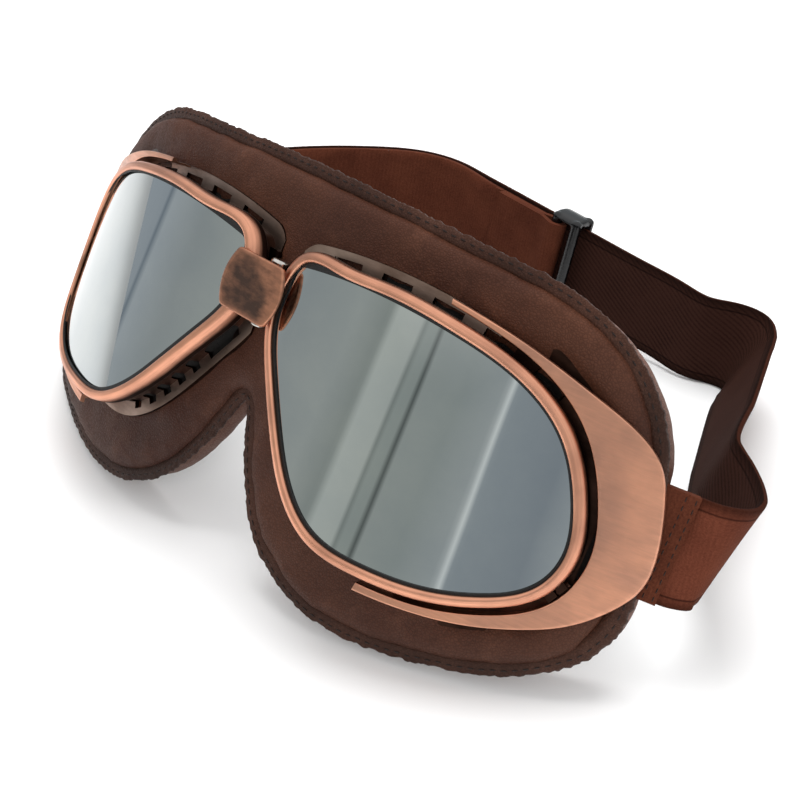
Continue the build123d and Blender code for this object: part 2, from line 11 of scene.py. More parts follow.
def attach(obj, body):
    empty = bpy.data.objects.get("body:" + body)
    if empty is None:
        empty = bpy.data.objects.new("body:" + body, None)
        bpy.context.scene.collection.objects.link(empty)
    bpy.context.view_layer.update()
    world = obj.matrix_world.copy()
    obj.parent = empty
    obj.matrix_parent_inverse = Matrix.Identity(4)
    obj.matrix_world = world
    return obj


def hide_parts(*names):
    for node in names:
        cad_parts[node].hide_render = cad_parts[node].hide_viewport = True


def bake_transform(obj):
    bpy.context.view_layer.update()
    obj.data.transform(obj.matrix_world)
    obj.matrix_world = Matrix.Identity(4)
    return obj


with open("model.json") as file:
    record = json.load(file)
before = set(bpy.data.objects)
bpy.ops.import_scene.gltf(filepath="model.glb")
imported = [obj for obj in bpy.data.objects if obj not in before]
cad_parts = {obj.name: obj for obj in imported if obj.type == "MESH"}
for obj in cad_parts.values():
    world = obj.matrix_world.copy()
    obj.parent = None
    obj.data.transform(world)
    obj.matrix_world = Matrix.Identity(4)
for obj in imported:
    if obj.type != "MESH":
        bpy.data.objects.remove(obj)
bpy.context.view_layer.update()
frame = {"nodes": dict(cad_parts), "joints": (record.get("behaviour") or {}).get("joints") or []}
print("frame loaded")

# Goggle sizes in millimetres and angles in degrees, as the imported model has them
goggle = {
    "openingWidth": 80.4,
    "openingHeight": 54.3,
    "lensCurve": 99.0,
    "eyeOffset": 48.7,
    "faceWrap": 16.5,
    "padCurve": 192.0,
    "padFront": 6.5,
    "padHalfWidth": 96.0,
    "padHalfHeight": 45.0,
    "wingCurve": 125.0,
    "wingAcross": 11.0,
    "wingBack": 122.2,
    "lean": 31.2,
    "pinBack": 1.0,
    "hingeMiddle": 14.4,
}

# Outline points as shares of half the width and height, going round from the top
openingShares = [
    (-0.94, 0.915), (-0.67, 0.975), (-0.38, 0.998), (0.10, 0.955), (0.45, 0.84), (0.73, 0.59),
    (0.93, 0.11), (0.985, -0.31), (0.92, -0.57), (0.70, -0.80), (0.40, -0.945), (0.06, -1.0),
    (-0.27, -0.955), (-0.51, -0.715), (-0.70, -0.36), (-0.885, 0.05), (-0.995, 0.37), (-1.0, 0.72),
]
padShares = [
    (0.0, 0.973), (0.22, 0.964), (0.48, 0.942), (0.65, 0.915), (0.785, 0.813), (0.87, 0.66),
    (0.935, 0.44), (0.965, 0.16), (0.98, -0.13), (0.99, -0.36), (0.96, -0.57), (0.895, -0.72),
    (0.81, -0.835), (0.69, -0.925), (0.57, -0.99), (0.46, -1.018), (0.355, -1.005), (0.265, -0.938),
    (0.19, -0.838), (0.124, -0.678), (0.081, -0.522), (0.046, -0.367), (0.019, -0.245),
]
wingShares = [
    (-0.04, 1.18), (0.37, 1.10), (0.84, 0.92), (1.08, 0.79), (1.20, 0.667), (1.285, 0.475),
    (1.335, 0.26), (1.38, -0.05), (1.375, -0.31), (1.287, -0.55), (1.10, -0.81), (0.93, -0.943),
    (0.643, -1.098), (0.33, -1.19), (0.04, -1.23),
]
# The drum that the eyecup's flange follows; the flange is bright up to "bright" past the eye's middle, and
# beyond that it is painted dark as painted shade under the wing
seatForm = {"curve": 161.75, "thick": 1.0, "across": 4.0, "back": 166.1, "bright": 6.0}
wrapSin = math.sin(math.radians(goggle["faceWrap"]))
wrapCos = math.cos(math.radians(goggle["faceWrap"]))
leanSin = math.sin(math.radians(goggle["lean"]))
leanCos = math.cos(math.radians(goggle["lean"]))
lensAxis = (goggle["eyeOffset"] - goggle["lensCurve"] * wrapSin, goggle["lensCurve"] * wrapCos)
padAxis = (0.0, goggle["padFront"] + goggle["padCurve"])
wingAxis = (goggle["wingAcross"], goggle["wingBack"])
seatAxis = (seatForm["across"], seatForm["back"])
mm = 0.001


def turned(x, y, z):
    return Vector((x, y * leanCos + z * leanSin, z * leanCos - y * leanSin))


foldJoint = next(j for j in frame["joints"] if j["name"] == "bridge_fold")
standShift = Vector(foldJoint["pos_m"]) - turned(0, goggle["pinBack"], goggle["hingeMiddle"]) * mm


# From the goggles' own millimetres to the standing frame in metres
def stood(x, y, z):
    return turned(x, y, z) * mm + standShift


def periodicSpline(points, count):
    pts = np.array(points, float)
    n = len(pts)
    gap = np.linalg.norm(np.roll(pts, -1, 0) - pts, axis=1)
    a = np.zeros((n, n))
    b = np.zeros_like(pts)
    for i in range(n):
        h0, h1 = gap[i - 1], gap[i]
        a[i, i - 1] += h1
        a[i, i] += 2 * (h0 + h1)
        a[i, (i + 1) % n] += h0
        b[i] = 3 * (h1 * (pts[i] - pts[i - 1]) / h0 + h0 * (pts[(i + 1) % n] - pts[i]) / h1)
    slope = np.linalg.solve(a, b)
    return evenly(pts, slope, gap, count, True)


def openSpline(points, count, first, last):
    pts = np.array(points, float)
    n = len(pts)
    gap = np.linalg.norm(pts[1:] - pts[:-1], axis=1)
    a = np.eye(n)
    b = np.zeros_like(pts)
    b[0] = np.array(first, float) / np.linalg.norm(first)
    b[-1] = np.array(last, float) / np.linalg.norm(last)
    for i in range(1, n - 1):
        h0, h1 = gap[i - 1], gap[i]
        a[i, i - 1], a[i, i], a[i, i + 1] = h1, 2 * (h0 + h1), h0
        b[i] = 3 * (h1 * (pts[i] - pts[i - 1]) / h0 + h0 * (pts[i + 1] - pts[i]) / h1)
    slope = np.linalg.solve(a, b)
    return evenly(pts, slope, gap, count, False)


# Points at even distances along a Hermite spline, with their directions
def evenly(pts, slope, gap, count, closed):
    fine = []
    steps = 40
    n = len(pts)
    for i in range(n if closed else n - 1):
        j = (i + 1) % n
        h = gap[i]
        t = np.linspace(0, 1, steps, endpoint=False)[:, None]
        fine.append(
            (2 * t**3 - 3 * t**2 + 1) * pts[i] + (t**3 - 2 * t**2 + t) * h * slope[i]
            + (3 * t**2 - 2 * t**3) * pts[j] + (t**3 - t**2) * h * slope[j]
        )
    fine = np.vstack(fine + [pts[:1] if closed else pts[-1:]])
    run = np.concatenate([[0], np.cumsum(np.linalg.norm(np.diff(fine, axis=0), axis=1))])
    want = np.linspace(0, run[-1], count, endpoint=not closed)
    out = np.stack([np.interp(want, run, fine[:, k]) for k in range(pts.shape[1])], 1)
    if closed:
        along = np.roll(out, -1, 0) - np.roll(out, 1, 0)
    else:
        along = np.gradient(out, axis=0)
    along /= np.linalg.norm(along, axis=1)[:, None]
    return out, along, want


def eyeOutline(count):
    half = (goggle["openingWidth"] / 2, goggle["openingHeight"] / 2)
    pts = [(x * half[0], y * half[1]) for x, y in openingShares]
    out, along, run = periodicSpline(pts, count)
    return out, np.stack([-along[:, 1], along[:, 0]], 1), run


def padOutline(count):
    half = (goggle["padHalfWidth"], goggle["padHalfHeight"])
    right = [(x * half[0], y * half[1]) for x, y in padShares]
    pts = right + [(0, -0.205 * half[1])] + [(-x, y) for x, y in reversed(right[1:])]
    out, along, run = periodicSpline(pts, count)
    return out, np.stack([-along[:, 1], along[:, 0]], 1), run


# Depth along the lens axis at which the line through one place meets a drum
def axisDepth(radius, axis, place):
    px = goggle["eyeOffset"] + place * wrapCos - axis[0]
    py = place * wrapSin - axis[1]
    b = px * wrapSin - py * wrapCos
    return -b + math.sqrt(max(b * b - px * px - py * py + radius * radius, 0))


def eyePoint(place, height, surface, lift):
    radius, axis = {
        "lens": (goggle["lensCurve"], lensAxis),
        "pad": (goggle["padCurve"], padAxis),
        "wing": (goggle["wingCurve"], wingAxis),
        "seat": (seatForm["curve"], seatAxis),
    }[surface]
    z = axisDepth(radius + lift, axis, place)
    x = goggle["eyeOffset"] + place * wrapCos + z * wrapSin
    return (x, place * wrapSin - z * wrapCos, height)


def linkPiece(name, data):
    data.name = name
    piece = bpy.data.objects.new(name, data)
    bpy.context.scene.collection.objects.link(piece)
    return piece


def smoothFaces(data):
    data.polygons.foreach_set("use_smooth", [True] * len(data.polygons))


def meshPiece(name, verts, faces, smooth=True):
    data = bpy.data.meshes.new(name)
    data.from_pydata([tuple(v) for v in verts], [], faces)
    if smooth:
        smoothFaces(data)
    return linkPiece(name, data)


# Applies the modifiers to a plain mesh
def settle(piece):
    unsettled = piece.data
    graph = bpy.context.evaluated_depsgraph_get()
    piece.data = bpy.data.meshes.new_from_object(piece.evaluated_get(graph))
    piece.modifiers.clear()
    bpy.data.meshes.remove(unsettled)
    piece.data.name = piece.name
    smoothFaces(piece.data)


# A band of cross-sections that closes on itself either way; UVs are in millimetres
def bandMesh(name, rows, runs, sides, closedRuns, closedSides, across=None):
    n, m = len(rows), len(rows[0])
    verts = [p for row in rows for p in row]
    faces = []
    faceUvs = []
    for i in range(n if closedRuns else n - 1):
        j = (i + 1) % n
        u0, u1 = runs[i], runs[i + 1]
        for k in range(m if closedSides else m - 1):
            q = (k + 1) % m
            v0, v1 = (across[k], across[q]) if across else (sides[k], sides[k + 1])
            faces.append((i * m + k, j * m + k, j * m + q, i * m + q))
            faceUvs += [(u0, v0), (u1, v0), (u1, v1), (u0, v1)]
    if not closedRuns and closedSides:
        faces.append(tuple(range(m - 1, -1, -1)))
        faces.append(tuple((n - 1) * m + k for k in range(m)))
        faceUvs += [(runs[0], s) for s in sides[m - 1 :: -1][:m]]
        faceUvs += [(runs[n - 1], s) for s in sides[:m]]
    piece = meshPiece(name, verts, faces)
    layer = piece.data.uv_layers.new(name="surface")
    layer.data.foreach_set("uv", [c for uv in faceUvs for c in uv])
    fixNormals(piece)
    return piece


def fixNormals(piece):
    bm = bmesh.new()
    bm.from_mesh(piece.data)
    bmesh.ops.remove_doubles(bm, verts=bm.verts, dist=1e-7)
    bmesh.ops.recalc_face_normals(bm, faces=bm.faces)
    bm.to_mesh(piece.data)
    bm.free()


def flippedCopy(piece, name):
    data = piece.data.copy()
    data.transform(Matrix.Diagonal((-1, 1, 1, 1)))
    data.flip_normals()
    return linkPiece(name, data)


# Closed cross-section with rounded corners; each corner is (x, y, radius)
def roundedLoop(corners, steps=4):
    out = []
    n = len(corners)
    for i in range(n):
        p = Vector(corners[i][:2])
        a = (Vector(corners[i - 1][:2]) - p).normalized()
        b = (Vector(corners[(i + 1) % n][:2]) - p).normalized()
        r = corners[i][2]
        half = math.acos(max(-1, min(1, a.dot(b)))) / 2
        if r <= 0:
            out.append(p)
            continue
        reach = r / math.tan(half)
        start, end = p + a * reach, p + b * reach
        for s in range(steps + 1):
            t = s / steps
            out.append(start.lerp(p, t).lerp(p.lerp(end, t), t))
    return out


def loopSides(loop):
    out = [0.0]
    for i in range(len(loop)):
        out.append(out[-1] + (loop[(i + 1) % len(loop)] - loop[i]).length)
    return out


# A ring round the lens opening; a section point is how far out, on which surface and how far above it
def eyeRing(name, section, sides, count):
    out, normal, run = eyeOutline(count)
    rows = []
    for p, nrm in zip(out, normal):
        row = []
        for grow, surface, lift in section:
            q = p + nrm * grow
            row.append(stood(*eyePoint(q[0], q[1], surface, lift)))
        rows.append(row)
    return bandMesh(name, rows, [run[1] * i for i in range(count + 1)], sides, True, True)


# How far each point is rubbed bright, from 0 to 1, for the copper finishes; on the bezel it also carries
# painted shade, on the plate a painted highlight
def setWearAndPaintedLight(piece, values):
    layer = piece.data.attributes.new("worn", "FLOAT", "POINT")
    layer.data.foreach_set("value", [float(v) for v in values])


# Splits the shading at sharp edges so that flat fronts stay clean
def sharpenEdges(piece, degrees):
    bm = bmesh.new()
    bm.from_mesh(piece.data)
    for edge in bm.edges:
        if len(edge.link_faces) == 2 and edge.calc_face_angle(0) > math.radians(degrees):
            edge.smooth = False
    bm.to_mesh(piece.data)
    bm.free()


# The right-hand piece and its mirrored copy, each on its own half
def rideBoth(right, base, replaced, slotName, *looks):
    left = flippedCopy(right, "left" + base)
    for piece, body, side in ((right, "right_half", "right"), (left, "left_half", "left")):
        for look in looks:
            piece.data.materials.append(look)
        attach(piece, body)
        if replaced:
            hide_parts(side + replaced)


def linear(hexColour):
    parts = [int(hexColour[i : i + 2], 16) / 255 for i in (1, 3, 5)]
    out = [c / 12.92 if c <= 0.04045 else ((c + 0.055) / 1.055) ** 2.4 for c in parts]
    return (*out, 1.0)


# Adds a node; a hex string becomes a colour, and a node given as a source means its result
def addNode(tree, kind, settings=None, links=None):
    node = tree.nodes.new(kind)
    for key, value in (settings or {}).items():
        if key == "stops":
            setStops(node.color_ramp, value)
        elif isinstance(key, int) or key in node.inputs:
            node.inputs[key].default_value = linear(value) if isinstance(value, str) else value
        else:
            setattr(node, key, value)
    wire(node, links or {})
    return node


def wire(node, links):
    for key, source in links.items():
        if isinstance(source, bpy.types.Node):
            source = source.outputs[2 if source.bl_idname == "ShaderNodeMix" else 0]
        node.id_data.links.new(source, node.inputs[key])


def setStops(ramp, stops):
    while len(ramp.elements) < len(stops):
        ramp.elements.new(0.5)
    for element, (place, colour) in zip(ramp.elements, stops):
        element.position = place
        element.color = linear(colour) if isinstance(colour, str) else (colour,) * 3 + (1,)


def newMaterial(name):
    material = bpy.data.materials.new(name)
    material.use_nodes = True
    tree = material.node_tree
    tree.nodes.clear()
    shader = addNode(tree, "ShaderNodeBsdfPrincipled")
    addNode(tree, "ShaderNodeOutputMaterial", None, {0: shader})
    return material, tree, shader


# Pressed brass, copper plated, darkened and brushed back: warm metal over a brown film.
# Brush marks are drawn about a millimetre wide, coarser than real ones, so that they show
def copperFinish(name, bright, film, streak, filmShare, brush=0.2, dark=None, contrast=0.5, useUv=False):
    material, tree, shader = newMaterial(name)
    coords = addNode(tree, "ShaderNodeTexCoord")
    lean = 0 if useUv else math.radians(goggle["lean"])
    place = coords.outputs["UV" if useUv else "Object"]
    turn = addNode(tree, "ShaderNodeMapping", {"Rotation": (lean, 0, 0)}, {0: place})
    stretch = addNode(tree, "ShaderNodeMapping", {"Scale": streak}, {0: turn})
    marks = {"Scale": 1.0, "Detail": 5.0, "Roughness": 0.6}
    fine = addNode(tree, "ShaderNodeTexNoise", marks, {0: stretch})
    clouds = {"Scale": 75.0, "Detail": 3.0, "Roughness": 0.5}
    cloud = addNode(tree, "ShaderNodeTexNoise", clouds, {0: coords.outputs["Object"]})
    both = addNode(tree, "ShaderNodeMath", {"operation": "MULTIPLY_ADD", 1: brush}, {0: fine, 2: cloud})
    level = filmShare + brush / 2
    stops = [(level - 0.22, 0.0), (level + 0.18, 1.0)]
    share = addNode(tree, "ShaderNodeValToRGB", {"stops": stops}, {0: both})
    base = addNode(tree, "ShaderNodeMix", {"data_type": "RGBA", 6: film, 7: bright}, {0: share})
    # Where "worn" is low the dark colour is laid on: film kept in hollows, and on the bezel's side walls also
    # painted shade
    if dark:
        wear = addNode(tree, "ShaderNodeAttribute", {"attribute_name": "worn"})
        patch = {"operation": "MULTIPLY_ADD", 1: contrast}
        patchy = addNode(tree, "ShaderNodeMath", patch, {0: both, 2: wear.outputs["Fac"]})
        stops = [(0.45 + contrast * 0.3, 0.0), (0.45 + contrast * 0.9, 1.0)]
        bare = addNode(tree, "ShaderNodeValToRGB", {"stops": stops}, {0: patchy})
        base = addNode(tree, "ShaderNodeMix", {"data_type": "RGBA", 6: dark}, {0: bare, 7: base})
    stops = [(0.3, "#DEDEDE"), (0.65, "#FFFFFF")]
    tint = addNode(tree, "ShaderNodeValToRGB", {"stops": stops}, {0: fine})
    multiply = {"data_type": "RGBA", "blend_type": "MULTIPLY", 0: 0.6}
    base = addNode(tree, "ShaderNodeMix", multiply, {6: base, 7: tint})
    rough = addNode(tree, "ShaderNodeValToRGB", {"stops": [(0.25, 0.44), (0.75, 0.3)]}, {0: fine})
    bump = addNode(tree, "ShaderNodeBump", {"Strength": 0.1, "Distance": 0.0002}, {"Height": fine})
    shader.inputs["Metallic"].default_value = 1.0
    wire(shader, {"Base Color": base, "Roughness": rough, "Normal": bump})
    return material


# Full-grain cowhide, dyed dark brown: pebbled grain about 0.7 mm across, softly worn where it bends
def leatherMaterial(name, dark, light, worn, depth):
    material, tree, shader = newMaterial(name)
    place = addNode(tree, "ShaderNodeTexCoord").outputs["Object"]
    warp = addNode(tree, "ShaderNodeTexNoise", {"Scale": 700.0, "Detail": 2.0}, {0: place})
    nudge = {"data_type": "RGBA", "blend_type": "ADD", 0: 0.0006}
    bent = addNode(tree, "ShaderNodeMix", nudge, {6: place, 7: warp.outputs["Color"]})
    pebbles = {"Scale": 1500.0, "feature": "DISTANCE_TO_EDGE"}
    cells = addNode(tree, "ShaderNodeTexVoronoi", pebbles, {0: bent})
    grain = addNode(tree, "ShaderNodeValToRGB", {"stops": [(0.0, 0.0), (0.3, 1.0)]}, {0: cells})
    pores = addNode(tree, "ShaderNodeTexNoise", {"Scale": 2600.0, "Detail": 2.0}, {0: place})
    height = addNode(tree, "ShaderNodeMath", {"operation": "MULTIPLY_ADD", 1: 0.5}, {0: pores, 2: grain})
    folds = {"Scale": 95.0, "Detail": 4.0, "Roughness": 0.55, "Distortion": 0.8}
    crease = addNode(tree, "ShaderNodeTexNoise", folds, {0: place})
    mottle = addNode(tree, "ShaderNodeTexNoise", {"Scale": 26.0, "Detail": 4.0}, {0: place})
    patches = addNode(tree, "ShaderNodeValToRGB", {"stops": [(0.35, 0.0), (0.68, 1.0)]}, {0: mottle})
    base = addNode(tree, "ShaderNodeMix", {"data_type": "RGBA", 6: dark, 7: light}, {0: patches})
    rubbed = addNode(tree, "ShaderNodeValToRGB", {"stops": [(0.52, 0.0), (0.8, 0.3)]}, {0: crease})
    base = addNode(tree, "ShaderNodeMix", {"data_type": "RGBA", 7: worn}, {0: rubbed, 6: base})
    stops = [(0.0, "#BDBDBD"), (0.6, "#FFFFFF")]
    shade = addNode(tree, "ShaderNodeValToRGB", {"stops": stops}, {0: grain})
    multiply = {"data_type": "RGBA", "blend_type": "MULTIPLY", 0: 0.7}
    base = addNode(tree, "ShaderNodeMix", multiply, {6: base, 7: shade})
    rough = addNode(tree, "ShaderNodeValToRGB", {"stops": [(0.1, 0.68), (0.9, 0.5)]}, {0: height})
    bump = addNode(tree, "ShaderNodeBump", {"Strength": 0.3, "Distance": depth}, {"Height": height})
    deeper = {"Strength": 0.3, "Distance": 0.0012}
    bump = addNode(tree, "ShaderNodeBump", deeper, {"Height": crease, "Normal": bump})
    shader.inputs["Specular IOR Level"].default_value = 0.22
    wire(shader, {"Base Color": base, "Roughness": rough, "Normal": bump})
    return material


# Elastic webbing knitted from brown polyester over rubber: brushed face, fine ribs, darker borders.
# The pattern is in millimetres, across the strap's own UV map where it has one
def webbingMaterial(name, dark, light, ribTurn, ribPitch, ribDepth, useUv=True):
    material, tree, shader = newMaterial(name)
    coords = addNode(tree, "ShaderNodeTexCoord")
    place = coords.outputs["UV"]
    if not useUv:
        perMetre = {"Scale": (1 / mm,) * 3}
        place = addNode(tree, "ShaderNodeMapping", perMetre, {0: coords.outputs["Object"]}).outputs[0]
    turn = addNode(tree, "ShaderNodeMapping", {"Rotation": (0, 0, math.radians(ribTurn))}, {0: place})
    knit = {"Scale": 0.314 / ribPitch, "Distortion": 0.5, "Detail": 2.0, "Detail Scale": 1.5}
    ribs = addNode(tree, "ShaderNodeTexWave", knit, {0: turn})
    brushed = {"Scale": 2.2, "Detail": 5.0, "Roughness": 0.75}
    fuzz = addNode(tree, "ShaderNodeTexNoise", brushed, {0: place})
    blotch = addNode(tree, "ShaderNodeTexNoise", {"Scale": 0.09, "Detail": 3.0}, {0: place})
    times = {"operation": "MULTIPLY", 1: ribDepth}
    weave = addNode(tree, "ShaderNodeMath", times, {0: ribs.outputs["Fac"]})
    height = addNode(tree, "ShaderNodeMath", {"operation": "ADD"}, {0: fuzz, 1: weave})
    tone = addNode(tree, "ShaderNodeMath", {"operation": "MULTIPLY_ADD", 1: 0.5}, {0: blotch, 2: height})
    stops = [(0.5, 0.0), (1.15 + ribDepth * 0.6, 1.0)]
    share = addNode(tree, "ShaderNodeValToRGB", {"stops": stops}, {0: tone})
    base = addNode(tree, "ShaderNodeMix", {"data_type": "RGBA", 6: dark, 7: light}, {0: share})
    if useUv:
        split = addNode(tree, "ShaderNodeSeparateXYZ", None, {0: place})
        side = addNode(tree, "ShaderNodeMath", {"operation": "ABSOLUTE"}, {0: split.outputs[1]})
        half = {"operation": "DIVIDE", 1: strapForm["width"] / 2}
        near = addNode(tree, "ShaderNodeMath", half, {0: side})
        stops = [(0.0, "#FFFFFF"), (0.78, "#FFFFFF"), (0.81, "#8A8A8A"), (0.84, "#E6E6E6"), (1.0, "#9A9A9A")]
        border = addNode(tree, "ShaderNodeValToRGB", {"stops": stops}, {0: near})
        multiply = {"data_type": "RGBA", "blend_type": "MULTIPLY", 0: 1.0}
        base = addNode(tree, "ShaderNodeMix", multiply, {6: base, 7: border})
    bump = addNode(tree, "ShaderNodeBump", {"Strength": 0.45, "Distance": 0.0002}, {"Height": height})
    shader.inputs["Roughness"].default_value = 0.92
    shader.inputs["Specular IOR Level"].default_value = 0.05
    wire(shader, {"Base Color": base, "Normal": bump})
    return material


# Moulded polycarbonate with a silver mirror coating: bright, with a faint haze and scuffs
def mirrorMaterial(name, tone, hazy):
    material, tree, shader = newMaterial(name)
    place = addNode(tree, "ShaderNodeTexCoord").outputs["Object"]
    cloudy = {"Scale": 60.0, "Detail": 4.0, "Roughness": 0.6}
    haze = addNode(tree, "ShaderNodeTexNoise", cloudy, {0: place})
    share = addNode(tree, "ShaderNodeValToRGB", {"stops": [(0.35, 0.0), (0.7, 1.0)]}, {0: haze})
    base = addNode(tree, "ShaderNodeMix", {"data_type": "RGBA", 6: tone, 7: hazy}, {0: share})
    rough = addNode(tree, "ShaderNodeValToRGB", {"stops": [(0.3, 0.015), (0.75, 0.035)]}, {0: haze})
    shader.inputs["Metallic"].default_value = 1.0
    wire(shader, {"Base Color": base, "Roughness": rough})
    return material


# Plain moulded or turned finishes with a fine surface unevenness
def plainMaterial(name, colour, roughness, metallic, grain, depth):
    material, tree, shader = newMaterial(name)
    place = addNode(tree, "ShaderNodeTexCoord").outputs["Object"]
    speck = addNode(tree, "ShaderNodeTexNoise", {"Scale": grain, "Detail": 3.0}, {0: place})
    stops = [(0.3, "#D8D8D8"), (0.7, "#FFFFFF")]
    tone = addNode(tree, "ShaderNodeValToRGB", {"stops": stops}, {0: speck})
    multiply = {"data_type": "RGBA", "blend_type": "MULTIPLY", 0: 1.0, 6: colour}
    base = addNode(tree, "ShaderNodeMix", multiply, {7: tone})
    stops = [(0.3, roughness * 0.85), (0.7, min(1, roughness * 1.2))]
    rough = addNode(tree, "ShaderNodeValToRGB", {"stops": stops}, {0: speck})
    bump = addNode(tree, "ShaderNodeBump", {"Strength": 0.2, "Distance": depth}, {"Height": speck})
    shader.inputs["Metallic"].default_value = metallic
    wire(shader, {"Base Color": base, "Roughness": rough, "Normal": bump})
    return material


strapForm = {
    "width": 24.5, "thick": 1.5, "corner": 0.4, "reach": 100.0, "depth": 127.0, "takeUp": 0.18,
    "rightCount": 110, "mainCount": 260,
}
finish = {
    # Rims and wings are brushed bright; the hinge and cups keep their dark film
    "bezelCopper": copperFinish(
        "platedCopperRim", "#EBA98A", "#B9836C", (0.05, 1.6, 1.0), 0.44, 0.3, "#2E1D17", 0.5, useUv=True
    ),
    "wingCopper": copperFinish("platedCopperWing", "#E9A888", "#BC8C77", (16, 200, 1100), 0.46, 0.1),
    "plateCopper": copperFinish(
        "platedCopperAged", "#C68B6E", "#8C6453", (260, 260, 600), 0.5, 0.5, "#5E4A42", 0.8
    ),
    "flangeBronze": copperFinish("platedCopperFlange", "#B39A8C", "#7C6558", (200, 200, 500), 0.5),
    "darkCopper": copperFinish("platedCopperDark", "#4A332A", "#241813", (300, 300, 700), 0.56),
    "leather": leatherMaterial("cowhideDarkBrown", "#381D13", "#4D2D1F", "#6A4331", 0.00026),
    "leatherBack": leatherMaterial("cowhideBackPanel", "#5E4035", "#775347", "#876558", 0.00012),
    "leatherEdge": leatherMaterial("cowhideCutEdge", "#2A170F", "#44291E", "#5E4033", 0.0003),
    "webbing": webbingMaterial("elasticWebbingFace", "#48241A", "#6B3B2B", 0, 0.9, 0.06),
    "webbingInner": webbingMaterial("elasticWebbingBack", "#1A0E0B", "#35201A", 62, 1.2, 0.4),
    "webbingPlain": webbingMaterial("elasticWebbingFold", "#3C1D14", "#5E3425", 0, 0.9, 0.06, False),
    "lens": mirrorMaterial("mirrorPolycarbonate", "#B6BBBC", "#BEC2C1"),
    "pin": plainMaterial("nickelPlatedSteel", "#D6D2CC", 0.16, 1.0, 900.0, 0.00004),
    "plastic": plainMaterial("acetalMoulded", "#0B0B0D", 0.22, 0.0, 1400.0, 0.00003),
    "rubber": plainMaterial("nitrileRubber", "#0E0B0A", 0.55, 0.0, 1800.0, 0.00006),
    "thread": plainMaterial("polyesterThread", "#1E110C", 0.75, 0.0, 3000.0, 0.00005),
    "lining": plainMaterial("brushedVelourLining", "#33241E", 0.95, 0.0, 2400.0, 0.0003),
    "lensBack": plainMaterial("smokePolycarbonate", "#0C0D0D", 0.3, 0.0, 600.0, 0.00001),
    # Black matt strip behind the vents: painted shade inside the eyecups
    "ventShade": plainMaterial("paintedVentShade", "#0E0A08", 1.0, 0.0, 1200.0, 0.0006),
}
print("finishes made")


def paint(node, material):
    obj = frame["nodes"][node]
    obj.data.materials.clear()
    obj.data.materials.append(material)
    obj.data.polygons.foreach_set("material_index", [0] * len(obj.data.polygons))


# From the standing frame back to the goggles' own millimetres
def padLocal(point):
    p = (point - standShift) / mm
    return Vector((p.x, p.y * leanCos - p.z * leanSin, p.y * leanSin + p.z * leanCos))


# The flange is brushed on its face up to "bright" past the eye's middle; towards the temple its face is painted
# dark, as painted shade of the gap under the wing. The wall behind it keeps its dark film
def paintEyecup(side):
    obj = frame["nodes"][side + "_eyecup"]
    paint(side + "_eyecup", finish["darkCopper"])
    obj.data.materials.append(finish["flangeBronze"])
    sign = 1 if side == "right" else -1
    marks = []
    for poly in obj.data.polygons:
        c = padLocal(poly.center)
        n = poly.normal
        n = Vector((n.x * sign, n.y * leanCos - n.z * leanSin, n.y * leanSin + n.z * leanCos))
        away = Vector((c.x * sign - seatForm["across"], c.y - seatForm["back"], 0))
        onFace = n.dot(away.normalized()) > 0.55 and away.length > seatForm["curve"] + 0.4
        # Flange faces past "bright" towards the temple get the dark finish: painted shade of the gap under the
        # wing
        marks.append(1 if onFace and c.x * sign < goggle["eyeOffset"] + seatForm["bright"] else 0)
    obj.data.polygons.foreach_set("material_index", marks)


for side in ("left", "right"):
    paintEyecup(side)
    paint(side + "_gasket", finish["rubber"])
    # The rim clamps sit in the gap under the wing; their dark finish there is also painted shade of that gap
    for base in ("_wing_studs", "_strap_bar", "_rim_clamp", "_rim_screw"):
        paint(side + base, finish["darkCopper"])
    paint("hinge_" + side, finish["darkCopper"])
paint("hinge_pin", finish["pin"])
paint("bridge_posts", finish["darkCopper"])

# Rim section in millimetres: "edge", "bead" and "heel" are its corner radii
bezelForm = {
    "band": 2.4, "wall": 1.1, "crown": 0.6, "lip": 1.0, "depth": 3.5,
    "edge": 1.5, "bead": 0.8, "heel": 0.75, "inside": 0.15, "count": 434,
}


def makeBezel():
    f = bezelForm
    inner, shelf = f["band"] - f["wall"], f["lip"] - f["crown"]
    section = roundedLoop([
        (0.0, -f["crown"], f["bead"]), (f["band"], -f["crown"], f["edge"]),
        (f["band"], f["depth"], f["heel"]), (inner, f["depth"], f["inside"]),
        (inner, shelf, 0.0), (0.0, shelf, 0.1),
    ], 6)
    # Rubbed bright on its crown, dark towards the cup: the dark is partly film kept in the hollows and partly
    # painted shade on the side walls
    worn = []
    for p in section:
        outside = p.x > f["band"] * 0.5
        worn.append(max(0.0, min(1.0, 1.05 - (p.y - 0.1) / 1.9)) if outside else 1.0 - max(0.0, p.y))
    places = [(p.x, "lens", -p.y) for p in section]
    ring = eyeRing("rightBezel", places, loopSides(section), f["count"])
    setWearAndPaintedLight(ring, worn * f["count"])
    sharpenEdges(ring, 60)
    rideBoth(ring, "Bezel", "_bezel", "brushed_copper", finish["bezelCopper"])


makeBezel()

lensForm = {"grow": 0.9, "front": 0.8, "thick": 1.6, "outline": 600, "columns": 150, "levels": 12}


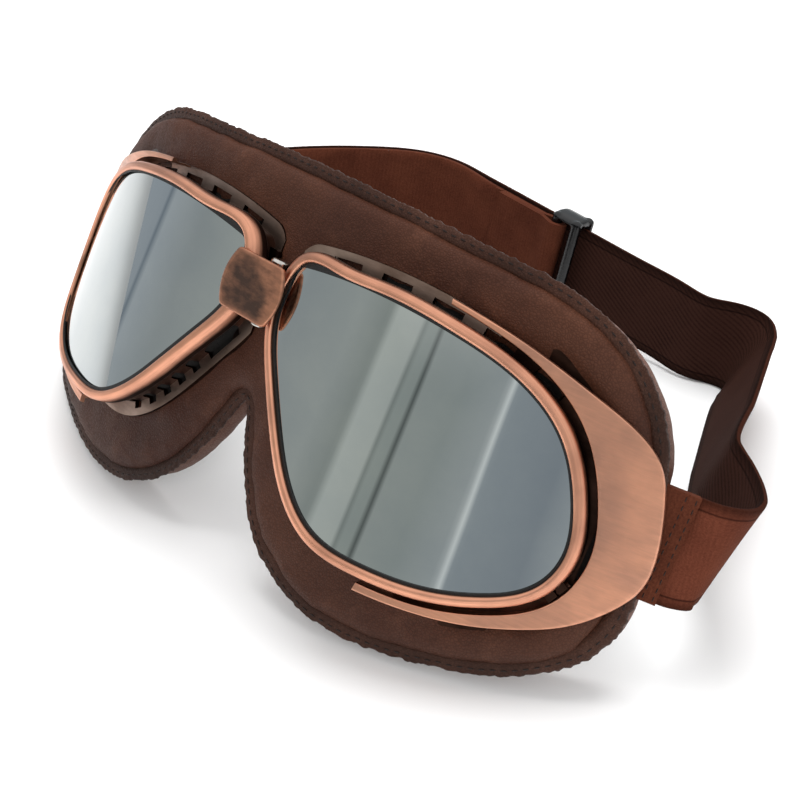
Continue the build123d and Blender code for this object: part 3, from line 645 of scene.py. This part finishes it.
# A curved sheet in columns that crowd towards its ends, so that its outline stays true
def makeLens():
    out, normal, _ = eyeOutline(lensForm["outline"])
    edge = out + normal * lensForm["grow"]
    low, high = edge[:, 0].min(), edge[:, 0].max()
    verts, faces, marks = [], [], []
    rows, levels = lensForm["columns"], lensForm["levels"]
    for layer in (0, 1):
        drop = lensForm["front"] + lensForm["thick"] * layer
        for i in range(rows + 1):
            share = 0.5 - 0.5 * math.cos(math.pi * (0.004 + 0.992 * i / rows))
            place = low + (high - low) * share
            crossings = []
            for p, q in zip(edge, np.roll(edge, -1, 0)):
                if (p[0] - place) * (q[0] - place) <= 0 and p[0] != q[0]:
                    t = (place - p[0]) / (q[0] - p[0])
                    crossings.append(p[1] + t * (q[1] - p[1]))
            bottom, top = min(crossings), max(crossings)
            for k in range(levels + 1):
                height = bottom + (top - bottom) * k / levels
                verts.append(stood(*eyePoint(place, height, "lens", -drop)))
    m = levels + 1
    back = (rows + 1) * m
    for i in range(rows):
        for k in range(levels):
            a, b = i * m + k, (i + 1) * m + k
            faces.append((a, b, b + 1, a + 1))
            faces.append((back + a, back + a + 1, back + b + 1, back + b))
            marks += [0, 1]
        for k in (0, levels):
            a, b = i * m + k, (i + 1) * m + k
            faces.append((a, back + a, back + b, b))
            marks.append(1)
    for i in (0, rows):
        for k in range(levels):
            a = i * m + k
            faces.append((a, a + 1, back + a + 1, back + a))
            marks.append(1)
    piece = meshPiece("rightLens", verts, faces)
    piece.data.polygons.foreach_set("material_index", marks)
    fixNormals(piece)
    sharpenEdges(piece, 25)
    rideBoth(piece, "Lens", "_lens", "mirror_lens", finish["lens"], finish["lensBack"])


makeLens()

ventShadeForm = {
    "outer": 0.15, "inner": -1.1, "reach": 4.2, "front": 3.5, "clear": 0.12, "back": 1.1, "count": 240,
}


# A black matt strip behind the vents, inside each eyecup wall: a dark sheet that paints the shade inside the
# cup seen through the vents
def makeVentShadeStrip():
    f = ventShadeForm
    section = [
        (f["outer"], "lens", -f["front"]), (f["outer"], "seat", -f["clear"]),
        (f["reach"], "seat", -f["clear"]), (f["reach"], "seat", -f["back"]),
        (f["inner"], "seat", -f["back"]), (f["inner"], "lens", -f["front"]),
    ]
    strip = eyeRing("rightVentShadeStrip", section, [0, 5, 9, 10, 15.3, 21.3, 22.6], f["count"])
    sharpenEdges(strip, 30)
    rideBoth(strip, "VentShadeStrip", None, "pad_lining", finish["ventShade"])


makeVentShadeStrip()
print("lenses and bezels made")

wingForm = {
    "gap": 4.2, "thick": 1.2, "edge": 0.5, "tip": 0.3, "lip": 0.8, "reach": 4.0, "bite": 0.15,
    "outline": 720, "count": 140, "across": 10,
}


# The wing's face widens from nothing at both tips; its inner lip turns down to the flange
def makeWing():
    f = wingForm
    half = (goggle["openingWidth"] / 2, goggle["openingHeight"] / 2)
    outerPts = [(x * half[0], y * half[1]) for x, y in wingShares]
    outer, _, run = openSpline(outerPts, f["count"], (1.0, -0.10), (-1.0, -0.05))
    out, normal, _ = eyeOutline(f["outline"])
    inner = out + normal * f["gap"]
    n = len(inner)

    def nearest(tip):
        return min(range(n), key=lambda i: (inner[i][0] - tip[0] - f["tip"]) ** 2 + (inner[i][1] - tip[1]) ** 2)

    start, end = nearest(outer[0]), nearest(outer[-1])
    if end < start:
        end += n
    step = (end - start) / (f["count"] - 1)
    stations = [inner[int(round(start + step * i)) % n] for i in range(f["count"])]
    t = f["thick"]
    rows = []
    for o, i in zip(outer, stations):
        wide = float(np.linalg.norm(o - i))
        r = min(f["edge"], wide * 0.3)
        lip = min(f["lip"], wide * 0.4)
        under = axisDepth(goggle["wingCurve"] - t, wingAxis, i[0])
        flange = axisDepth(seatForm["curve"] + seatForm["thick"], seatAxis, i[0])
        deep = t + max(0.1, min(f["reach"], under - flange + f["bite"]))
        section = roundedLoop([
            (0.0, deep, 0.05), (0.0, 0.0, r * 0.8), (wide, 0.0, r),
            (wide, t, 0.05), (lip, t, 0.02), (lip, deep, 0.05),
        ])
        # The two long sides of the section, after corners 2 and 4, are divided evenly
        flat = []
        for place, (a, b) in enumerate(zip(section, section[1:] + section[:1])):
            flat.append(a)
            if place in (9, 19):
                flat += [a.lerp(b, k / f["across"]) for k in range(1, f["across"])]
        row = []
        for reach, drop in flat:
            q = i + (o - i) * (reach / wide)
            row.append(stood(*eyePoint(q[0], q[1], "wing", -drop)))
        rows.append(row)
        sides = loopSides(flat)
    piece = bandMesh("rightWing", rows, list(run) + [run[-1]], sides, False, True)
    sharpenEdges(piece, 50)
    rideBoth(piece, "Wing", "_wing", "brushed_copper", finish["wingCopper"])


makeWing()
print("wings made")

plateForm = {
    "half": 9.3, "end": 7.2, "low": 8.4, "high": 22.3, "front": -5.8, "corner": 1.6, "arcSteps": 24,
    # Rings from the back edge to the middle: share of the outline, drop in millimetres, wear
    "rings": [
        (0.96, 1.2, 0.3), (1.0, 0.85, 0.4), (1.0, 0.45, 0.6), (0.985, 0.2, 0.8), (0.955, 0.1, 0.75),
        (0.92, 0.07, 0.5), (0.86, 0.055, 0.33), (0.75, 0.04, 0.24), (0.6, 0.028, 0.17),
        (0.4, 0.015, 0.14), (0.2, 0.005, 0.12), (0.02, 0.0, 0.12),
    ],
}


# The bare cover plate: softly domed, dark in the middle and rubbed bright along its edge, with a painted
# highlight brightening it towards the right eye's side
def makePlate():
    f = plateForm
    middle = (f["low"] + f["high"]) / 2
    tall = (f["high"] - f["low"]) / 2
    steps = f["arcSteps"]
    arc = []
    for i in range(steps + 1):
        t = i / (steps / 2) - 1
        arc.append((f["half"] - (f["half"] - f["end"]) * t * t, middle + tall * t))
    corners = [(x, z, f["corner"] if k in (0, steps) else 0.0) for k, (x, z) in enumerate(arc)]
    corners += [(-x, z, r) for x, z, r in reversed(corners)]
    loop = roundedLoop(corners, 6)
    rows, worn = [], []
    for scale, drop, wear in f["rings"]:
        rows.append([stood(q.x * scale, f["front"] + drop, middle + (q.y - middle) * scale) for q in loop])
        for q in loop:
            patch = noise.noise(Vector((q.x * scale * 0.22, q.y * scale * 0.22, 2.4))) * 0.14
            # The small rise with x is a painted highlight, brighter towards the right eye's side; the rest is
            # rubbed wear
            worn.append(wear + patch + 0.05 * q.x * scale / f["half"])
    runs = [float(i) for i in range(len(rows) + 1)]
    plate = bandMesh("bridgeCover", rows, runs, loopSides(loop), False, True)
    setWearAndPaintedLight(plate, worn)
    sharpenEdges(plate, 50)
    plate.data.materials.append(finish["plateCopper"])
    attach(plate, "left_half")
    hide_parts("bridge_plate")


makePlate()
print("bridge plate made")

# Stitch sizes in millimetres
padStitch = {"spacing": 2.4, "length": 1.5, "thread": 0.2}
strapStitch = {"spacing": 1.9, "length": 1.3, "thread": 0.14, "rows": (1.2, 3.4), "inset": 1.2, "lift": 0.08}


# Stitches along a path, as a Geometry Nodes tree with named sizes
def stitchTree(material):
    tree = bpy.data.node_groups.new("stitches", "GeometryNodeTree")
    tree.is_modifier = True
    face = tree.interface
    face.new_socket("Geometry", in_out="INPUT", socket_type="NodeSocketGeometry")
    for key in ("Spacing", "Stitch Length", "Thread Radius"):
        face.new_socket(key, in_out="INPUT", socket_type="NodeSocketFloat")
    face.new_socket("Geometry", in_out="OUTPUT", socket_type="NodeSocketGeometry")
    start = addNode(tree, "NodeGroupInput")
    spacing, length, radius = (start.outputs[key] for key in ("Spacing", "Stitch Length", "Thread Radius"))
    curve = addNode(tree, "GeometryNodeMeshToCurve", None, {0: start.outputs["Geometry"]})
    spread = {"Curve": curve, "Length": spacing}
    spaced = addNode(tree, "GeometryNodeResampleCurve", {"mode": "LENGTH"}, spread)
    ball = addNode(tree, "GeometryNodeMeshUVSphere", {"Segments": 6, "Rings": 4, "Radius": 1.0})
    tangent = addNode(tree, "GeometryNodeInputTangent")
    turn = addNode(tree, "FunctionNodeAlignRotationToVector", {"axis": "X"}, {"Vector": tangent})
    half = addNode(tree, "ShaderNodeMath", {"operation": "MULTIPLY", 1: 0.5}, {0: length})
    size = addNode(tree, "ShaderNodeCombineXYZ", None, {0: half, 1: radius, 2: radius})
    placing = {"Points": spaced, "Instance": ball, "Rotation": turn, "Scale": size}
    put = addNode(tree, "GeometryNodeInstanceOnPoints", None, placing)
    real = addNode(tree, "GeometryNodeRealizeInstances", None, {0: put})
    dressed = addNode(tree, "GeometryNodeSetMaterial", {"Material": material}, {"Geometry": real})
    addNode(tree, "NodeGroupOutput", None, {0: dressed})
    return tree


def stitchesAlong(name, paths, closed, tree, form):
    verts, edges = [], []
    for line in paths:
        first = len(verts)
        verts += [tuple(v) for v in line]
        edges += [(first + i, first + i + 1) for i in range(len(line) - 1)]
        if closed:
            edges.append((len(verts) - 1, first))
    path = bpy.data.meshes.new(name)
    path.from_pydata(verts, edges, [])
    thread = linkPiece(name, path)
    sewing = thread.modifiers.new("sewing", "NODES")
    sewing.node_group = tree
    sizes = {"Spacing": "spacing", "Stitch Length": "length", "Thread Radius": "thread"}
    for item in tree.interface.items_tree:
        if item.in_out == "INPUT" and item.name in sizes:
            sewing[item.identifier] = form[sizes[item.name]] * mm
    settle(thread)
    return thread


sewingTree = stitchTree(finish["thread"])

padForm = {
    "voxel": 0.0017, "smooth": 9, "pinch": 0.9, "pinchReach": 3.5, "wrinkle": 0.55, "outline": 600,
    "seamReach": 1.4, "seamBite": 2.4, "seamThick": 1.8, "seamCount": 900,
    # Depths behind the front drum at which the back panel and the lining start
    "backPanel": 1.4, "lining": 8.6,
    "table": 0.00002,
}


# Both padded halves and the nose as one cushion, from the solids' own shapes
def paddedShape():
    bm = bmesh.new()
    for name in ("left_pad_leather", "left_pad_foam", "right_pad_leather", "right_pad_foam", "nose_pad"):
        part = frame["nodes"][name].data.copy()
        if name == "nose_pad":
            part.transform(Matrix.Diagonal((1.35, 1, 1, 1)))
        bm.from_mesh(part)
        bpy.data.meshes.remove(part)
    data = bpy.data.meshes.new("facePad")
    bm.to_mesh(data)
    bm.free()
    pad = linkPiece("facePad", data)
    remesh = pad.modifiers.new("voxels", "REMESH")
    remesh.mode = "VOXEL"
    remesh.voxel_size = padForm["voxel"]
    relax = pad.modifiers.new("relax", "SMOOTH")
    relax.factor = 0.5
    relax.iterations = padForm["smooth"]
    settle(pad)
    return pad


# Folds fan out from the eyecups and gather beside the nose; the back lies flatter
def foldHeight(p):
    fold = noise.noise(Vector((p.x * 0.144, p.z * 0.144, 3.1 * 3.2 + 7.0))) * 0.6
    nose = math.exp(-((p.x / 22) ** 2) - ((p.z + 6) / 22) ** 2)
    ridge = noise.noise(Vector((p.x * 0.16 + p.z * 0.05, p.z * 0.05 - p.x * 0.04, 1.7)))
    onFront = p.y < 12 + p.x * p.x * 0.003
    return padForm["wrinkle"] * (fold + nose * ridge * 1.6) * (1.0 if onFront else 0.35)


def makePad():
    f = padForm
    pad = paddedShape()
    outline, outward, _ = padOutline(f["outline"])
    normals = [normal.vector.copy() for normal in pad.data.vertex_normals]
    for v, nrm in zip(pad.data.vertices, normals):
        p = padLocal(v.co)
        # The front is pinched in under the sewn lip
        lift = goggle["padCurve"] - math.hypot(p.x, p.y - padAxis[1])
        away = outline - np.array([p.x, p.z])
        near = int((away**2).sum(1).argmin())
        reach = math.sqrt((away[near] ** 2).sum())
        pull = f["pinch"] * math.exp(-((lift / 1.6) ** 2)) * max(0.0, 1 - reach / f["pinchReach"])
        side = turned(outward[near][0] * -pull, 0, outward[near][1] * -pull)
        v.co += side * mm + nrm * (foldHeight(p) * mm)
        v.co.z = max(v.co.z, f["table"])
    finer = pad.modifiers.new("finer", "SUBSURF")
    finer.levels = finer.render_levels = 1
    settle(pad)
    data = pad.data
    data.materials.clear()
    for look in ("leather", "leatherBack", "lining"):
        data.materials.append(finish[look])
    for poly in data.polygons:
        c = padLocal(poly.center)
        depth = goggle["padCurve"] - math.hypot(c.x, c.y - padAxis[1])
        poly.material_index = 2 if depth > f["lining"] else 1 if depth > f["backPanel"] else 0
    return pad


# The raw edge of the leather outside its stitches, uneven along its cut
def makeSeam():
    f = padForm
    count = f["seamCount"]
    half = f["seamThick"] / 2
    outline, outward, run = padOutline(count)
    rows = []
    for p, nrm in zip(outline, outward):
        rough = noise.noise(Vector((p[0] * 0.9, p[1] * 0.9, 0.3))) * 0.45
        rough += noise.noise(Vector((p[0] * 0.25, p[1] * 0.25, 5.3))) * 0.12
        lean = noise.noise(Vector((p[0] * 0.12, p[1] * 0.12, 9.1))) * 0.3
        top = f["seamReach"] + rough
        front = [
            (-f["seamBite"], half * 0.5, 0), (-0.6, half * 0.75, 0),
            (top - 0.3, half * 0.8, lean), (top, half * 0.35, lean),
        ]
        section = [(grow, drop + tip) for grow, drop, tip in front]
        section += [(grow, tip - drop) for grow, drop, tip in reversed(front)]
        row = []
        for grow, drop in section:
            q = p + nrm * grow
            y = padAxis[1] - math.sqrt((goggle["padCurve"] + drop) ** 2 - min(q[0] ** 2, 99**2))
            row.append(stood(q[0], y, q[1]))
        rows.append(row)
    length = run[1] * count
    runs = [length * i / count for i in range(count + 1)]
    sides = [0, 1.8, 3.6, 4.2, 5.0, 5.6, 7.4, 9.2, 10.2]
    lip = bandMesh("padSeamLip", rows, runs, sides, True, True)
    for v in lip.data.vertices:
        v.co.z = max(v.co.z, f["table"])
    lip.data.materials.append(finish["leatherEdge"])
    path = [row[1].lerp(row[2], 0.45) for row in rows]
    return lip, stitchesAlong("padStitches", [path], True, sewingTree, padStitch)


facePad = makePad()
seamLip, padStitches = makeSeam()
for piece in (facePad, seamLip, padStitches):
    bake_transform(piece)
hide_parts("left_pad_leather", "left_pad_foam", "right_pad_leather", "right_pad_foam", "nose_pad")
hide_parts("left_pad_seam", "right_pad_seam", "nose_seam")
print("face pad made")

# Places along the strap's middle: shares of its reach, depth and width, then how its upper edge tips
rightRun = [
    (1.03, 0.290, 1.20, 0.10, 0.41), (1.033, 0.343, 1.08, 0.22, 0.39), (1.005, 0.394, 1.00, 0.28, 0.39),
    (0.959, 0.439, 0.955, 0.28, 0.38), (0.903, 0.479, 0.94, 0.26, 0.35), (0.846, 0.516, 0.935, 0.22, 0.30),
    (0.805, 0.565, 0.895, 0.26, 0.31), (0.740, 0.669, 0.796, 0.34, 0.34), (0.641, 0.825, 0.649, 0.38, 0.355),
]
cornerRun = [
    (0.576, 0.929, 0.547, 0.40, 0.365), (0.546, 0.982, 0.505, 0.37, 0.365), (0.504, 1.024, 0.490, 0.25, 0.32),
    (0.445, 1.025, 0.495, 0.12, 0.26),
]
straightRun = [(0.37, 1.0, 0.515, 0.05, 0.2), (-0.53, 1.0, 0.845, 0.05, 0.2)]
leftRun = [
    (-0.65, 0.975, 0.875, 0.04, 0.2), (-0.78, 0.895, 0.90, 0.02, 0.22), (-0.90, 0.775, 0.94, 0.0, 0.26),
    (-0.99, 0.630, 0.99, 0.0, 0.32), (-1.035, 0.480, 1.04, -0.02, 0.38), (-1.045, 0.370, 1.11, -0.05, 0.42),
]


# Strap places are measured on the table, in millimetres, before the frame is centred
def strapPlace(row):
    x, y, z, tipX, tipY = row
    at = Vector((x * strapForm["reach"], y * strapForm["depth"], z * strapForm["width"]))
    rise = math.sqrt(1 - tipX * tipX - tipY * tipY)
    return at, Vector((tipX, tipY, rise))


def strapPoint(p):
    return Vector((p.x * mm + standShift.x, p.y * mm + standShift.y, p.z * mm))


# A ribbon along a spline through its places, one material outside and one inside
def ribbonPiece(name, places, first, last, count):
    mids = [tuple(at) for at, _ in places]
    tips = np.array([tuple(wide.normalized()) for _, wide in places])
    line, along, run = openSpline(mids, count, tuple(first), tuple(last))
    keys = np.array([float(run[np.argmin(((line - np.array(m)) ** 2).sum(1))]) for m in mids])
    side, edge, corner = strapForm["width"] / 2, strapForm["thick"] / 2, strapForm["corner"]
    corners = [(-side, -edge), (side, -edge), (side, edge), (-side, edge)]
    section = roundedLoop([(*at, corner) for at in corners], 2)
    flat = []
    for c, d in zip(section, section[1:] + section[:1]):
        flat.append(c)
        if (d - c).length > side:
            flat += [c.lerp(d, k / 8) for k in range(1, 8)]
    rows = []
    for p, a, r in zip(line, along, run):
        a = Vector(a)
        w = Vector([np.interp(r, keys, tips[:, k]) for k in range(3)])
        w = (w - a * w.dot(a)).normalized()
        n = w.cross(a).normalized()
        rows.append([strapPoint(Vector(p) + w * s + n * t) for s, t in flat])
    across = [q[0] for q in flat]
    piece = bandMesh(name, rows, list(run) + [run[-1]], loopSides(flat), False, True, across)
    sharpenEdges(piece, 60)
    piece.data.materials.append(finish["webbing"])
    piece.data.materials.append(finish["webbingInner"])
    inner = [1 if a[1] + b[1] > 0 else 0 for a, b in zip(flat, flat[1:] + flat[:1])]
    piece.data.polygons.foreach_set("material_index", inner * (count - 1) + [0, 0])
    return piece


# Where each sewn end leaves its bar under the wing, in millimetres and degrees
strapEnd = {
    "angle": 36.0, "reach": 14.3, "bar": 1.1, "slack": 0.15, "setback": 10.5, "edge": 97.0, "level": 1.0,
    "sewn": 7.0, "gap": 0.6, "over": 0.25, "clear": 0.3,
}


def strapAxes():
    turn = math.radians(strapEnd["angle"])
    along = Vector((math.cos(turn), math.sin(turn), 0))
    out = Vector((along.y, -along.x, 0))
    inner = goggle["wingCurve"] - wingForm["thick"]
    back = goggle["wingBack"] - math.sqrt(inner**2 - (strapEnd["edge"] - goggle["wingAcross"]) ** 2)
    lift = strapEnd["bar"] + strapEnd["slack"] + strapForm["thick"] + strapEnd["clear"]
    bar = Vector((strapEnd["edge"], back, strapEnd["level"])) - along * strapEnd["setback"] - out * lift
    return along, out, bar


def loopEnd(side, reach, layer):
    along, out, bar = strapAxes()
    at = bar + along * reach + out * layer
    lift = standShift.z / mm
    at = turned(at.x * side, at.y, at.z) + Vector((0, 0, lift))
    return at, turned(0, 0, 1), turned(along.x * side, along.y, along.z)


def makeStraps():
    start, wide = strapPlace(straightRun[0])
    end, _ = strapPlace(straightRun[1])
    ahead = (end - start).normalized()
    wide = (wide - ahead * wide.dot(ahead)).normalized()
    sewn, left = strapEnd["sewn"], strapEnd["reach"] + strapEnd["gap"]
    deep, layer = strapForm["thick"] / 2 + strapEnd["over"], strapForm["thick"] / 2
    sewnAt, tip, away = loopEnd(1, sewn, -deep)
    right = [(sewnAt, tip), (loopEnd(1, left, -layer)[0], tip)] + [strapPlace(r) for r in rightRun]
    corner = [strapPlace(r) for r in cornerRun]
    join = corner[0][0] - right[-2][0]
    sideRun = ribbonPiece("strapRightRun", right, away, join, strapForm["rightCount"])
    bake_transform(sideRun)
    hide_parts("strap_right")
    leftAt, leftTip, leftAway = loopEnd(-1, sewn, deep)
    # Close points keep the run straight where the slider moves
    level = [(start.lerp(end, share), wide) for share in (0.0, 0.1, 0.25, 0.4, 0.55, 0.7, 0.82, 0.92, 1.0)]
    whole = [right[-1]] + corner + level + [strapPlace(r) for r in leftRun]
    whole += [(loopEnd(-1, left, layer)[0], leftTip), (leftAt, leftTip)]
    main = ribbonPiece("strapMainRun", whole, join, leftAway * -1, strapForm["mainCount"])
    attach(main, "left_half")
    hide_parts("strap_corner", "strap_back", "strap_left")
    makeInnerLayer()
    return start, wide, ahead


# The inner layer: a merged copy of the imported strap return, in plain webbing
def makeInnerLayer():
    data = frame["nodes"]["strap_return"].data.copy()
    bm = bmesh.new()
    bm.from_mesh(data)
    bmesh.ops.remove_doubles(bm, verts=bm.verts, dist=1e-6)
    bm.to_mesh(data)
    bm.free()
    layer = linkPiece("strapInnerLayer", data)
    data.materials.clear()
    data.materials.append(finish["webbingPlain"])
    data.polygons.foreach_set("material_index", [0] * len(data.polygons))
    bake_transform(layer)
    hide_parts("strap_return")


# Two rows of stitches across each sewn strap end
def makeStrapStitches():
    along, out, bar = strapAxes()
    paths = []
    side = strapForm["width"] / 2 - strapStitch["inset"]
    for back in strapStitch["rows"]:
        at = bar + along * (strapEnd["reach"] - back) + out * (strapForm["thick"] + strapStitch["lift"])
        paths.append([stood(at.x, at.y, at.z - side), stood(at.x, at.y, at.z + side)])
    rows = stitchesAlong("rightStrapStitches", paths, False, sewingTree, strapStitch)
    rideBoth(rows, "StrapStitches", None, "strap_webbing")


sliderForm = {
    "offset": 14.0, "bar": 1.45, "endBar": (1.7, 1.3), "rail": 1.3, "end": -6.9, "railEnds": (-8.1, 1.6),
    "voxel": 0.0003, "round": 4,
}


# A bar with rounded ends: stations along a line, each an ellipse
def roundedBar(name, start, end, sideA, sideB, radii):
    rows = []
    length = (end - start).length
    ahead = (end - start) / length
    cap = min(radii) * 0.8
    stops = [(0.0, 0.25), (cap * 0.25, 0.66), (cap * 0.6, 0.9), (cap, 1.0)]
    stops += [(length - run, share) for run, share in reversed(stops)]
    for run, share in stops:
        row = []
        for k in range(20):
            angle = math.tau * k / 20
            off = sideA * math.cos(angle) * radii[0] + sideB * math.sin(angle) * radii[1]
            row.append(strapPoint(start + ahead * run + off * share))
        rows.append(row)
    runs = [run for run, _ in stops] + [length]
    return bandMesh(name, rows, runs, [float(k) for k in range(21)], False, True)


# Two end bars, a middle bar and two rails, melted into one moulding round the strap
def makeSlider(start, wide, ahead):
    f = sliderForm
    inward = wide.cross(ahead).normalized()
    middle = start + ahead * ((start.x + f["offset"]) / -ahead.x)
    local = []
    for v in frame["nodes"]["slider_frame"].data.vertices:
        p = Vector(((v.co.x - standShift.x) / mm, (v.co.y - standShift.y) / mm, v.co.z / mm)) - middle
        local.append((p.dot(inward), p.dot(wide)))
    front, back = min(q[0] for q in local), max(q[0] for q in local)
    top = max(q[1] for q in local)
    rail = top - f["rail"]
    mid, half = (front + back) / 2, (back - front) / 2
    inner, outer = back - f["endBar"][1], front + f["endBar"][1]
    crossBars = [(0, back - f["bar"], (f["bar"],) * 2)]
    crossBars += [(f["end"], deep, f["endBar"]) for deep in (inner, outer)]
    bars = [((at, deep, -top), (at, deep, top), ahead, radii) for at, deep, radii in crossBars]
    first, last = f["railEnds"]
    bars += [((first, mid, z), (last, mid, z), wide, (f["rail"], half)) for z in (rail, -rail)]
    bm = bmesh.new()
    for a, b, sideA, radii in bars:
        ends = [middle + ahead * q[0] + inward * q[1] + wide * q[2] for q in (a, b)]
        bar = roundedBar("sliderBar", ends[0], ends[1], sideA, inward, radii)
        bm.from_mesh(bar.data)
        bpy.data.objects.remove(bar)
    data = bpy.data.meshes.new("strapSlider")
    bm.to_mesh(data)
    bm.free()
    slider = linkPiece("strapSlider", data)
    remesh = slider.modifiers.new("moulding", "REMESH")
    remesh.mode = "VOXEL"
    remesh.voxel_size = f["voxel"]
    relax = slider.modifiers.new("relax", "SMOOTH")
    relax.iterations = f["round"]
    settle(slider)
    slider.data.materials.append(finish["plastic"])
    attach(slider, "slider")
    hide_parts("slider_frame")


makeSlider(*makeStraps())
makeStrapStitches()
for side in ("left", "right"):
    paint(side + "_strap_end", finish["webbingPlain"])
paint("strap_tail", finish["webbingPlain"])
print("strap made")


# A matt paper sweep
paper, _, paperShader = newMaterial("paperSweep")
paperShader.inputs["Base Color"].default_value = linear("#F4F4F4")
paperShader.inputs["Roughness"].default_value = 0.9
floorCorners = [(-3, -3, 0), (3, -3, 0), (3, 3, 0), (-3, 3, 0)]
floor = meshPiece("floor", floorCorners, [(0, 1, 2, 3)], smooth=False)
floor.data.materials.append(paper)

# Wall tones by compass angle from the front, as polished lenses and metal see them
studio = {
    "soft": 0.75,
    "glossy": 1.22,
    "rise": [(0.40, 0.0), (0.66, 1.0)],
    "ceiling": "#EFEFEF",
    "tones": [
        (-180, "#A9AEB0"), (-104, "#AFB5BA"), (-80, "#A3AAB1"), (-70, "#9FA6AD"), (-68.4, "#66727E"),
        (-67, "#AEB4B9"), (-50, "#9DA2A3"), (-30, "#AAAEAB"), (-20, "#979C98"), (-17, "#BFC3BE"),
        (-8.3, "#B9BDB8"), (-7.7, "#2E3433"), (-6.8, "#9FA5A1"), (-1.9, "#9CA29E"), (-1.3, "#4B5150"),
        (-0.6, "#A2A7A4"), (12, "#9BA19F"), (25, "#A8ADAE"), (26.6, "#E3E6E5"), (28.2, "#9AA1A6"),
        (45, "#8E959C"), (62, "#BDC1C2"), (120, "#C8CACA"), (180, "#A9AEB0"),
    ],
}


# Soft grey studio walls with their folds and edges
def studioWalls(tree):
    coords = addNode(tree, "ShaderNodeTexCoord").outputs["Generated"]
    ripple = addNode(tree, "ShaderNodeTexNoise", {"Scale": 2.2, "Detail": 2.0}, {0: coords})
    nudge = {"data_type": "RGBA", "blend_type": "ADD", 0: 0.08}
    bent = addNode(tree, "ShaderNodeMix", nudge, {6: coords, 7: ripple.outputs["Color"]})
    split = addNode(tree, "ShaderNodeSeparateXYZ", None, {0: bent})
    back = addNode(tree, "ShaderNodeMath", {"operation": "MULTIPLY", 1: -1.0}, {0: split.outputs[1]})
    turn = addNode(tree, "ShaderNodeMath", {"operation": "ARCTAN2"}, {0: split.outputs[0], 1: back})
    perTurn = {"operation": "MULTIPLY_ADD", 1: 0.5 / math.pi, 2: 0.5}
    share = addNode(tree, "ShaderNodeMath", perTurn, {0: turn})
    stops = [((angle + 180) / 360, tone) for angle, tone in studio["tones"]]
    walls = addNode(tree, "ShaderNodeValToRGB", {"stops": stops}, {0: share})
    rise = addNode(tree, "ShaderNodeValToRGB", {"stops": studio["rise"]}, {0: split.outputs[2]})
    ceiling = {"data_type": "RGBA", 7: studio["ceiling"]}
    colour = addNode(tree, "ShaderNodeMix", ceiling, {0: rise, 6: walls})
    return addNode(tree, "ShaderNodeBackground", {"Strength": studio["glossy"]}, {0: colour})


# White to the camera, studio walls to polished surfaces, soft even light to the rest
def makeWorld():
    world = bpy.data.worlds.new("studio")
    bpy.context.scene.world = world
    world.use_nodes = True
    tree = world.node_tree
    tree.nodes.clear()
    soft = addNode(tree, "ShaderNodeBackground", {"Color": "#F1F1F1", "Strength": studio["soft"]})
    plain = addNode(tree, "ShaderNodeBackground", {"Color": "#FFFFFF", "Strength": 1.0})
    rays = addNode(tree, "ShaderNodeLightPath")
    glossyRay, cameraRay = rays.outputs["Is Glossy Ray"], rays.outputs["Is Camera Ray"]
    glossy = addNode(tree, "ShaderNodeMixShader", None, {0: glossyRay, 1: soft, 2: studioWalls(tree)})
    choose = addNode(tree, "ShaderNodeMixShader", None, {0: cameraRay, 1: glossy, 2: plain})
    addNode(tree, "ShaderNodeOutputWorld", None, {0: choose})


def areaLamp(name, at, aim, size, power):
    data = bpy.data.lights.new(name, "AREA")
    data.shape = "RECTANGLE"
    data.size, data.size_y = size
    data.energy = power
    lamp = bpy.data.objects.new(name, data)
    bpy.context.scene.collection.objects.link(lamp)
    lamp.visible_glossy = False
    lamp.location = at
    lamp.rotation_euler = (Vector(aim) - Vector(at)).to_track_quat("-Z", "Y").to_euler()


makeWorld()
areaLamp("topBox", (-0.15, 0.25, 0.9), (0, -0.02, 0.03), (0.7, 0.7), 9.0)
areaLamp("frontBox", (0.55, -0.75, 0.55), (0, -0.02, 0.03), (0.5, 0.5), 4.0)
print("studio lit")

# Camera place in millimetres, angles in degrees, focal length in pixels of the square picture
cameraSpec = {
    "across": 227.5, "back": -177.6, "up": 188.3, "azimuth": 45.04, "elevation": 35.08,
    "focal": 1526.94, "picture": 800, "sensor": 36.0,
}
cameraData = bpy.data.cameras.new("camera")
cameraData.sensor_width = cameraSpec["sensor"]
cameraData.lens = cameraSpec["focal"] / cameraSpec["picture"] * cameraSpec["sensor"]
cameraObject = bpy.data.objects.new("camera", cameraData)
bpy.context.scene.collection.objects.link(cameraObject)
cameraObject.location = (
    cameraSpec["across"] * mm + standShift.x,
    cameraSpec["back"] * mm + standShift.y,
    cameraSpec["up"] * mm + standShift.z,
)
tilt = math.radians(90 - cameraSpec["elevation"])
cameraObject.rotation_euler = (tilt, 0, math.radians(cameraSpec["azimuth"]))
cameraData.clip_start = 0.01
bpy.context.scene.camera = cameraObject
bpy.context.scene.view_settings.view_transform = "Standard"
